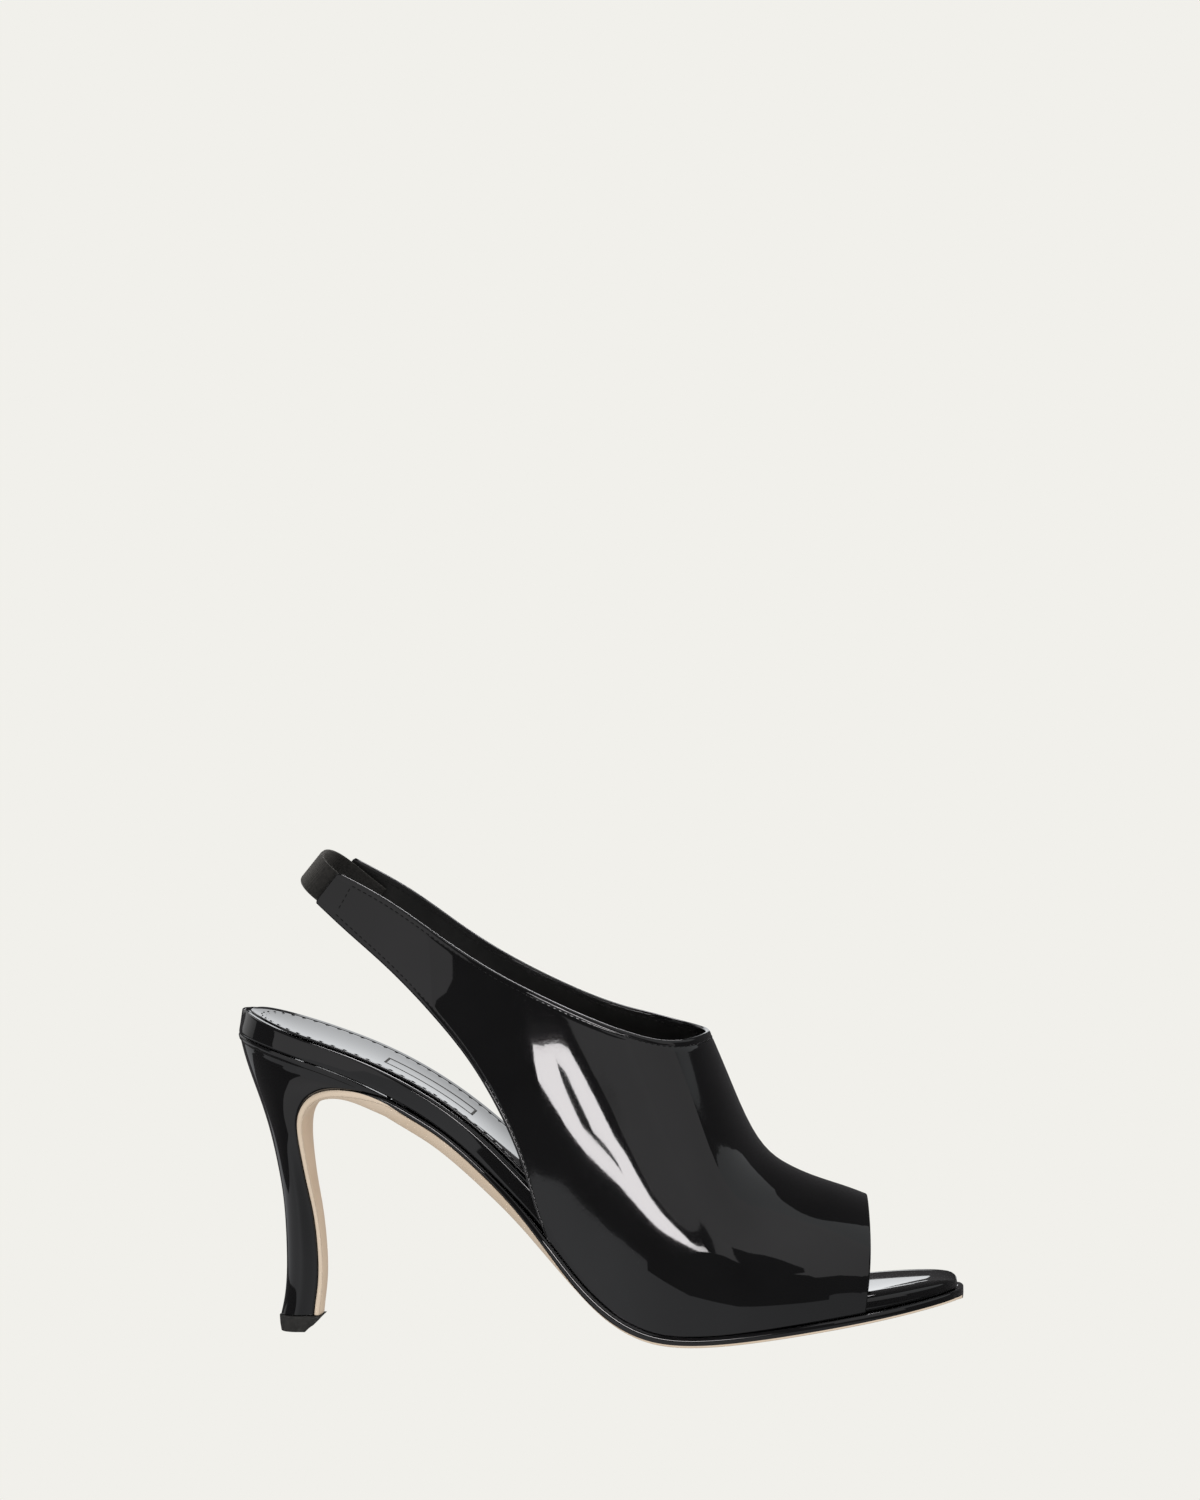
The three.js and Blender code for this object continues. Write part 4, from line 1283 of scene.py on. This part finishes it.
class SANDAL_OT_back_elastic(bpy.types.Operator):
    """Build the ribbed elastic band behind the heel"""

    bl_idname = "sandal.back_elastic"
    bl_label = "Back elastic"

    def execute(self, context):
        top = Vector((STRAP_TOP, topline["lateral"](STRAP_TOP)))
        foot = Vector((STRAP_FOOT, back_edge(STRAP_FOOT)))
        up_way = (top - foot).normalized()
        back_way = Vector((-up_way.y, up_way.x))
        start = (top + foot) / 2

        def place(back, up):
            return start + back_way * back + up_way * up

        def inside(back, up):
            p = place(back, up)
            outer = upper_point(p.x, turn_at(p.x, p.y))
            return abs(outer.y) - UPPER_WALL - FIT_GAP - ELASTIC_THICKNESS / 2 - ELASTIC_CLEAR

        def line(up):
            half = inside(0, up)
            tuck = [-ELASTIC_TUCK * (1 - i / TUCK_CELLS) for i in range(TUCK_CELLS)]
            made = [(back, inside(back, up)) for back in tuck]
            for i in range(BOW_CELLS + 1):
                angle = math.pi * i / (2 * BOW_CELLS)
                reach = ELASTIC_REACH * math.sin(angle) ** BOW_POWER
                made.append((reach, half * max(0.0, math.cos(angle)) ** BOW_POWER))
            return [(b, -y) for b, y in made] + made[-2::-1]

        def edge(up, face):
            """The band's inner or outer face at one height."""
            made = []
            path = line(up)
            for i, (back, y) in enumerate(path):
                before, after = path[max(0, i - 1)], path[min(len(path) - 1, i + 1)]
                away = Vector((after[1] - before[1], before[0] - after[0])).normalized()
                p = place(back + away.x * face, up)
                made.append(Vector((p.x, y + away.y * face, p.y)))
            return made

        half = ELASTIC_WIDTH / 2
        profile = []
        for i in range(RIB_CELLS + 1):
            up = mix(-half, half, i / RIB_CELLS)
            to_edge = half - abs(up)
            eased = 1 - (1 - clamp01(to_edge / ELASTIC_EASE_REACH)) ** 2 * ELASTIC_EASE
            rib = RIB_HEIGHT * math.cos(2 * math.pi * up / RIB_PITCH) * smooth(0, 0.6, to_edge)
            profile.append((up, (ELASTIC_THICKNESS / 2 - RIB_HEIGHT) * eased + rib))
        lines = [edge(up, -face) for up, face in profile]
        lines += [edge(up, face) for up, face in reversed(profile)]
        rings = [[row[i] for row in lines] for i in range(len(lines[0]))]
        lofted_piece("heel_elastic", rings, [elastic_finish()], "back_elastic")
        return {"FINISHED"}


# Studio
FRAME_HIGH = 1500
MM_PER_PIXEL = 0.302
CAMERA_DISTANCE = 3300
CAMERA_AZIMUTH = 6.3
CAMERA_ELEVATION = 6.5
CAMERA_ROLL = -0.4
AIM = Vector((-30, 0, 60))
AIM_ROW = 1134.8
SENSOR = 36


def make_camera(scene):
    """Sets the camera by the photo's angle, with the aim point on its own pixel row."""
    azimuth, elevation = math.radians(CAMERA_AZIMUTH), math.radians(CAMERA_ELEVATION)
    focal = CAMERA_DISTANCE / MM_PER_PIXEL
    level = math.cos(elevation)
    back = Vector((math.sin(azimuth) * level, -math.cos(azimuth) * level, math.sin(elevation)))
    pitch = elevation - math.atan((AIM_ROW - FRAME_HIGH / 2) / focal)
    ahead = Vector((-math.sin(azimuth), math.cos(azimuth), 0)) * math.cos(pitch)
    ahead.z = -math.sin(pitch)
    right = Vector((math.cos(azimuth), math.sin(azimuth), 0))
    turn = Matrix((right, right.cross(ahead), -ahead)).transposed()
    turn = Matrix.Rotation(math.radians(CAMERA_ROLL), 3, back) @ turn
    data = bpy.data.cameras.new("photo_camera")
    data.sensor_fit = "VERTICAL"
    data.sensor_height = SENSOR
    data.lens = SENSOR * focal / FRAME_HIGH
    data.clip_end = 100
    camera = bpy.data.objects.new("photo_camera", data)
    scene.collection.objects.link(camera)
    camera.matrix_world = Matrix.Translation((AIM + back * CAMERA_DISTANCE) * MM) @ turn.to_4x4()
    scene.camera = camera


def soft_light(name, place, target, size, power):
    """A rectangular soft light at a place, facing the target. Sizes and places are in metres."""
    data = bpy.data.lights.new(name, "AREA")
    data.shape = "RECTANGLE"
    data.size, data.size_y = size
    data.energy = power
    made = bpy.data.objects.new(name, data)
    bpy.context.scene.collection.objects.link(made)
    made.location = place
    made.rotation_euler = (Vector(target) - Vector(place)).to_track_quat("-Z", "Y").to_euler()
    made.visible_camera = False
    made.visible_glossy = False


def even(glow, *uprights):
    """Uprights (across, low, high) that all glow as strongly at both ends."""
    return tuple((*upright, glow, glow) for upright in uprights)


# Screens round the shoe and panels near it, seen only in its gloss. Each is a row of uprights: where it is
# across, its low and high end, and the glow at each of those ends.
WARM_TINT = (1.0, 0.965, 0.975)
PLAIN_TINT = (1.0, 0.985, 1.0)
COOL_TINT = (0.96, 0.98, 1.0)
WHITE_TINT = (1.0, 1.0, 1.0)

# Curved screens: tint and uprights. Angles are in degrees, from the shoe's middle: azimuth 0 is the side of
# the photo, and it grows toward the toe.
SCREENS = {
    "low_screen": ((0.96, 0.97, 1.0), (
        (-142, -16.5, -10, 0.28, 0.3), (-132, -17.5, -8, 0.32, 0.34), (-122, -16, -6, 0.36, 0.36),
        (-99, -17, -4.5, 0.36, 0.36), (-80, -22, -4.5, 0.36, 0.36), (-60, -26, -5, 0.36, 0.36),
        (-47, -33, -5, 0.36, 0.38), (-35, -40, -2, 0.36, 0.4), (-34.8, -70, -2, 0.36, 0.42),
        (-29.5, -70, 0.8, 0.36, 0.42), (-26, -70, 1.8, 0.36, 0.42), (-22, -70, 2.9, 0.36, 0.41),
        (-17, -70, 4.6, 0.36, 0.4), (-13, -70, 5.0, 0.36, 0.38), (-9, -70, 4.6, 0.36, 0.36),
        (-3, -70, 3.1, 0.34, 0.32), (6, -70, 2.9, 0.32, 0.28), (11, -70, 1, 0.31, 0.27),
        (18, -70, -0.2, 0.3, 0.26), (25, -70, -2.2, 0.3, 0.25), (30, -70, -0.6, 0.29, 0.25),
        (36, -70, -1.6, 0.28, 0.24), (48, -60, -4, 0.28, 0.24), (85, -35, -10, 0.28, 0.24),
    )),
    "heel_screen": ((1.0, 0.99, 1.0), even(0.36, (-63, -72, -60), (-56, -72, -50), (-35, -72, -45))),
    "high_screen": (PLAIN_TINT, (
        (-2.5, 13.8, 14.4, 0.40, 0.40), (0, 12.4, 15.6, 0.40, 0.40), (3, 12.4, 17.6, 0.40, 0.40),
        (8, 14.2, 20.3, 0.40, 0.40), (11, 15.4, 21.2, 0.40, 0.40), (15, 17.5, 22.8, 0.40, 0.42),
        (18.5, 18.5, 24.5, 0.40, 0.44), (20, 18.2, 76.0, 0.40, 0.46), (24, 18.2, 76.0, 0.40, 0.46),
        (31.5, 18.6, 77.0, 0.39, 0.45), (38, 16.8, 77.0, 0.38, 0.44), (54, 14, 77.0, 0.36, 0.42),
        (70, 12, 77.0, 0.36, 0.42),
    )),
    "high_screen_left": (PLAIN_TINT, (
        (10.5, 37, 50, 0.44, 0.46), (14, 34.5, 65, 0.43, 0.46), (17, 30.5, 74, 0.42, 0.46),
        (20, 26, 76, 0.41, 0.46),
    )),
    "high_screen_right": ((0.95, 0.98, 1.0), (
        (70, 29.4, 77, 0.36, 0.42), (84, 28, 77, 0.36, 0.4), (96, 26.6, 75, 0.36, 0.39),
        (110, 24.3, 70, 0.36, 0.38), (121, 22.8, 62, 0.36, 0.38), (127, 23.5, 58, 0.36, 0.38),
    )),
    "toe_screen": (COOL_TINT, even(0.9, (185, -2, 8), (192, -2, 8))),
    "rear_screen": (WHITE_TINT, (
        (206, 2, 22, 0.2, 0.3), (222, 2, 22, 0.34, 0.38), (240, 2, 22, 0.34, 0.38), (258, 2, 22, 0.2, 0.3),
    )),
    "medial_screen": (WHITE_TINT, (
        (192, 26, 50, 0.5, 0.6), (210, 24, 55, 0.5, 0.6), (232, 24, 50, 0.5, 0.6),
    )),
}

# Near panels, upright: tint, distance toward the camera from the shoe's middle line, and uprights. All
# lengths are in metres.
NEAR_PANELS = {
    "lamp_left": (WARM_TINT, 0.35, even(
        10,
        (-0.158, 0.119, 0.128), (-0.152, 0.118, 0.136), (-0.137, 0.116, 0.139), (-0.121, 0.113, 0.142),
        (-0.116, 0.109, 0.144), (-0.106, 0.104, 0.146), (-0.095, 0.103, 0.149),
    )),
    "lamp_under": (WARM_TINT, 0.35, even(
        10,
        (-0.095, 0.103, 0.119), (-0.083, 0.102, 0.1175), (-0.073, 0.101, 0.116), (-0.064, 0.099, 0.1135),
        (-0.06, 0.098, 0.112),
    )),
    "lamp_over": (WARM_TINT, 0.35, even(
        10,
        (-0.095, 0.141, 0.149), (-0.084, 0.141, 0.152), (-0.0835, 0.1225, 0.152), (-0.073, 0.121, 0.155),
        (-0.064, 0.117, 0.157), (-0.06, 0.1125, 0.151),
    )),
    "lamp_right": (WARM_TINT, 0.35, even(
        10,
        (-0.06, 0.098, 0.151), (-0.053, 0.0965, 0.133), (-0.039, 0.0925, 0.128), (-0.03, 0.09, 0.12),
        (-0.019, 0.088, 0.112), (-0.005, 0.088, 0.106), (0.01, 0.0895, 0.102),
    ) + (
        (0.021, 0.091, 0.098, 9, 9), (0.037, 0.094, 0.1, 8, 8), (0.05, 0.099, 0.105, 7, 7),
        (0.06, 0.106, 0.11, 6, 6),
    )),
    "topline_lamp": ((1.0, 0.98, 1.0), -0.15, even(7, (-0.05, 0.26, 0.42), (0.06, 0.26, 0.42))),
    "strap_card": (PLAIN_TINT, 0.06, ((-0.2, 0.077, 0.2, 0.44, 0.36), (-0.0867, 0.077, 0.2, 0.44, 0.36))),
    "strap_card_edge": (PLAIN_TINT, 0.06, even(
        0.38,
        (-0.0867, 0.1, 0.2), (-0.085, 0.1045, 0.2), (-0.081, 0.1075, 0.2), (-0.0787, 0.112, 0.2),
        (-0.078, 0.12, 0.2),
    )),
    "strap_shade": (PLAIN_TINT, 0.0605, even(
        0.05, (-0.0867, 0.079, 0.2), (-0.074, 0.079, 0.2), (-0.066, 0.088, 0.2), (-0.06, 0.1, 0.2),
    )),
    "toe_shade": (PLAIN_TINT, 0.06, even(
        0.05,
        (-0.015, 0.025, 0.029), (-0.008, 0.021, 0.031), (0, 0.0165, 0.033), (0.016, 0.013, 0.036),
        (0.045, 0.0125, 0.033), (0.056, 0.0125, 0.026),
    )),
    "sock_panel": (COOL_TINT, -0.3, (
        (-0.22, 0.1, 0.19, 0.45, 0.45), (-0.15, 0.09, 0.19, 0.75, 0.7), (-0.08, 0.08, 0.19, 0.85, 0.8),
        (0.012, 0.075, 0.16, 0.7, 0.65),
    )),
}

SCREEN_DISTANCE = 6.0
SCREEN_CENTRE = Vector((-0.03, 0, 0.06))
SCREEN_STEPS = 8
SURROUND_DISTANCE = SCREEN_DISTANCE * 1.5
SURROUND_GLOW = 0.05
FLOOR_REACH = 60
FLOOR_DROP = 0.0002


def stage_mesh(name, points, faces, finish):
    """A mesh object of the stage, from points in metres."""
    mesh = bpy.data.meshes.new(name)
    mesh.from_pydata([tuple(p) for p in points], [], faces)
    mesh.materials.append(finish)
    made = bpy.data.objects.new(name, mesh)
    bpy.context.scene.collection.objects.link(made)
    return made


def seen_in_gloss_only(made):
    made.visible_camera = False
    made.visible_diffuse = False
    made.visible_transmission = False
    made.visible_shadow = False


def glowing_finish(name, tint, glow=None):
    """A finish that only glows: as strongly as its mesh says at each corner, or evenly."""
    finish, tree, shader = new_finish(name)
    set_inputs(shader, Base_Color=(0, 0, 0, 1), Specular_IOR_Level=0.0, Emission_Color=(*tint, 1))
    if glow is None:
        strength = tree.nodes.new("ShaderNodeAttribute")
        strength.attribute_name = "glow"
        tree.links.new(strength.outputs["Fac"], shader.inputs["Emission Strength"])
    else:
        set_inputs(shader, Emission_Strength=glow)
    finish.cycles.emission_sampling = "NONE"
    return finish


def on_sphere(azimuth, rise, distance=SCREEN_DISTANCE):
    """The point at these angles, in degrees, round the shoe's middle."""
    turn, level = math.radians(azimuth), math.cos(math.radians(rise))
    way = Vector((math.sin(turn) * level, -math.cos(turn) * level, math.sin(math.radians(rise))))
    return SCREEN_CENTRE + way * distance


def glowing_screen(name, tint, uprights, place):
    """A screen through its uprights. place: gives the point in space for across and height."""
    points, glows, faces = [], [], []
    spans = [(a, b, i / SCREEN_STEPS) for a, b in zip(uprights, uprights[1:]) for i in range(SCREEN_STEPS)]
    spans.append((uprights[-1], uprights[-1], 0.0))
    for start, end, share in spans:
        across, low, high, glow_low, glow_high = [mix(a, b, share) for a, b in zip(start, end)]
        for i in range(SCREEN_STEPS + 1):
            points.append(place(across, mix(low, high, i / SCREEN_STEPS)))
            glows.append(mix(glow_low, glow_high, i / SCREEN_STEPS))
    row = SCREEN_STEPS + 1
    for k in range(len(spans) - 1):
        for i in range(SCREEN_STEPS):
            a = k * row + i
            faces.append((a, a + row, a + row + 1, a + 1))
    made = stage_mesh(name, points, faces, glowing_finish(name, tint))
    made.data.attributes.new("glow", "FLOAT", "POINT").data.foreach_set("value", glows)
    seen_in_gloss_only(made)


def dim_surround():
    """A large dim sphere behind the screens, so that the gloss is nowhere quite black."""
    rings, around = 16, 32
    points = []
    for k in range(rings + 1):
        for i in range(around):
            points.append(on_sphere(360 * i / around, 180 * (k / rings - 0.5), SURROUND_DISTANCE))
    faces = [(a, d, c, b) for a, b, c, d in skin(rings + 1, around)]
    glow = glowing_finish("dim_surround", (1.0, 0.97, 1.0), SURROUND_GLOW)
    seen_in_gloss_only(stage_mesh("dim_surround", points, faces, glow))


class SANDAL_OT_stage(bpy.types.Operator):
    """Set up the pale floor, the soft lights, the reflected screens and the camera"""

    bl_idname = "sandal.stage"
    bl_label = "Stage"

    def execute(self, context):
        scene = context.scene
        studio = scene.sandal_studio
        make_camera(scene)
        scene.view_settings.view_transform = "Standard"

        tint = tuple(studio.floor_colour)
        corners = [(x * FLOOR_REACH, y * FLOOR_REACH, 0) for x, y in ((-1, -1), (1, -1), (1, 1), (-1, 1))]
        floor = stage_mesh("pale_floor", corners, [(0, 1, 2, 3)], glowing_finish("pale_floor", tint, 1.0))
        floor.location.z = -FLOOR_DROP
        floor.visible_glossy = False

        world = bpy.data.worlds.new("studio")
        world.use_nodes = True
        world.node_tree.nodes["Background"].inputs["Color"].default_value = (*tint, 1)
        scene.world = world
        world.cycles_visibility.glossy = False

        soft_light("key_above", (-0.05, -0.1, 1.5), (-0.03, 0, 0), (1.6, 1.2), studio.key_power)
        for name, (screen_tint, uprights) in SCREENS.items():
            glowing_screen(name, screen_tint, uprights, on_sphere)
        for name, (screen_tint, toward, uprights) in NEAR_PANELS.items():
            glowing_screen(name, screen_tint, uprights, lambda x, z, y=-toward: Vector((x, y, z)))
        dim_surround()
        return {"FINISHED"}


BUILD_ORDER = (
    SANDAL_OT_outsole,
    SANDAL_OT_insole_board,
    SANDAL_OT_sock,
    SANDAL_OT_sock_seam,
    SANDAL_OT_sock_label,
    SANDAL_OT_upper,
    SANDAL_OT_upper_seams,
    SANDAL_OT_back_elastic,
    SANDAL_OT_heel,
    SANDAL_OT_top_piece,
    SANDAL_OT_stage,
)


class SANDAL_PT_panel(bpy.types.Panel):
    """Lists the shoe's settings and its pieces"""

    bl_idname = "SANDAL_PT_panel"
    bl_label = "Slingback Sandal"
    bl_space_type = "VIEW_3D"
    bl_region_type = "UI"
    bl_category = "Sandal"

    def draw(self, context):
        layout = self.layout
        for _, setting in SETTINGS:
            group = getattr(context.scene, setting)
            box = layout.box()
            for name in group.bl_rna.properties.keys():
                if name not in ("rna_type", "name"):
                    box.prop(group, name)
        for operator in BUILD_ORDER:
            layout.operator(operator.bl_idname)


SETTINGS = (
    (SandalLook, "sandal_look"),
    (SandalStitching, "sandal_stitching"),
    (SandalStudio, "sandal_studio"),
)


def register():
    for group, name in SETTINGS:
        bpy.utils.register_class(group)
        setattr(bpy.types.Scene, name, bpy.props.PointerProperty(type=group))
    for operator in BUILD_ORDER:
        bpy.utils.register_class(operator)
    bpy.utils.register_class(SANDAL_PT_panel)


def unregister():
    bpy.utils.unregister_class(SANDAL_PT_panel)
    for operator in reversed(BUILD_ORDER):
        bpy.utils.unregister_class(operator)
    for group, name in reversed(SETTINGS):
        delattr(bpy.types.Scene, name)
        bpy.utils.unregister_class(group)


def main():
    register()
    bpy.ops.sandal.outsole()
    bpy.ops.sandal.insole_board()
    bpy.ops.sandal.sock()
    bpy.ops.sandal.sock_seam()
    bpy.ops.sandal.sock_label()
    bpy.ops.sandal.upper()
    bpy.ops.sandal.upper_seams()
    bpy.ops.sandal.back_elastic()
    bpy.ops.sandal.heel()
    bpy.ops.sandal.top_piece()
    bpy.ops.sandal.stage()


if __name__ == "__main__":
    main()
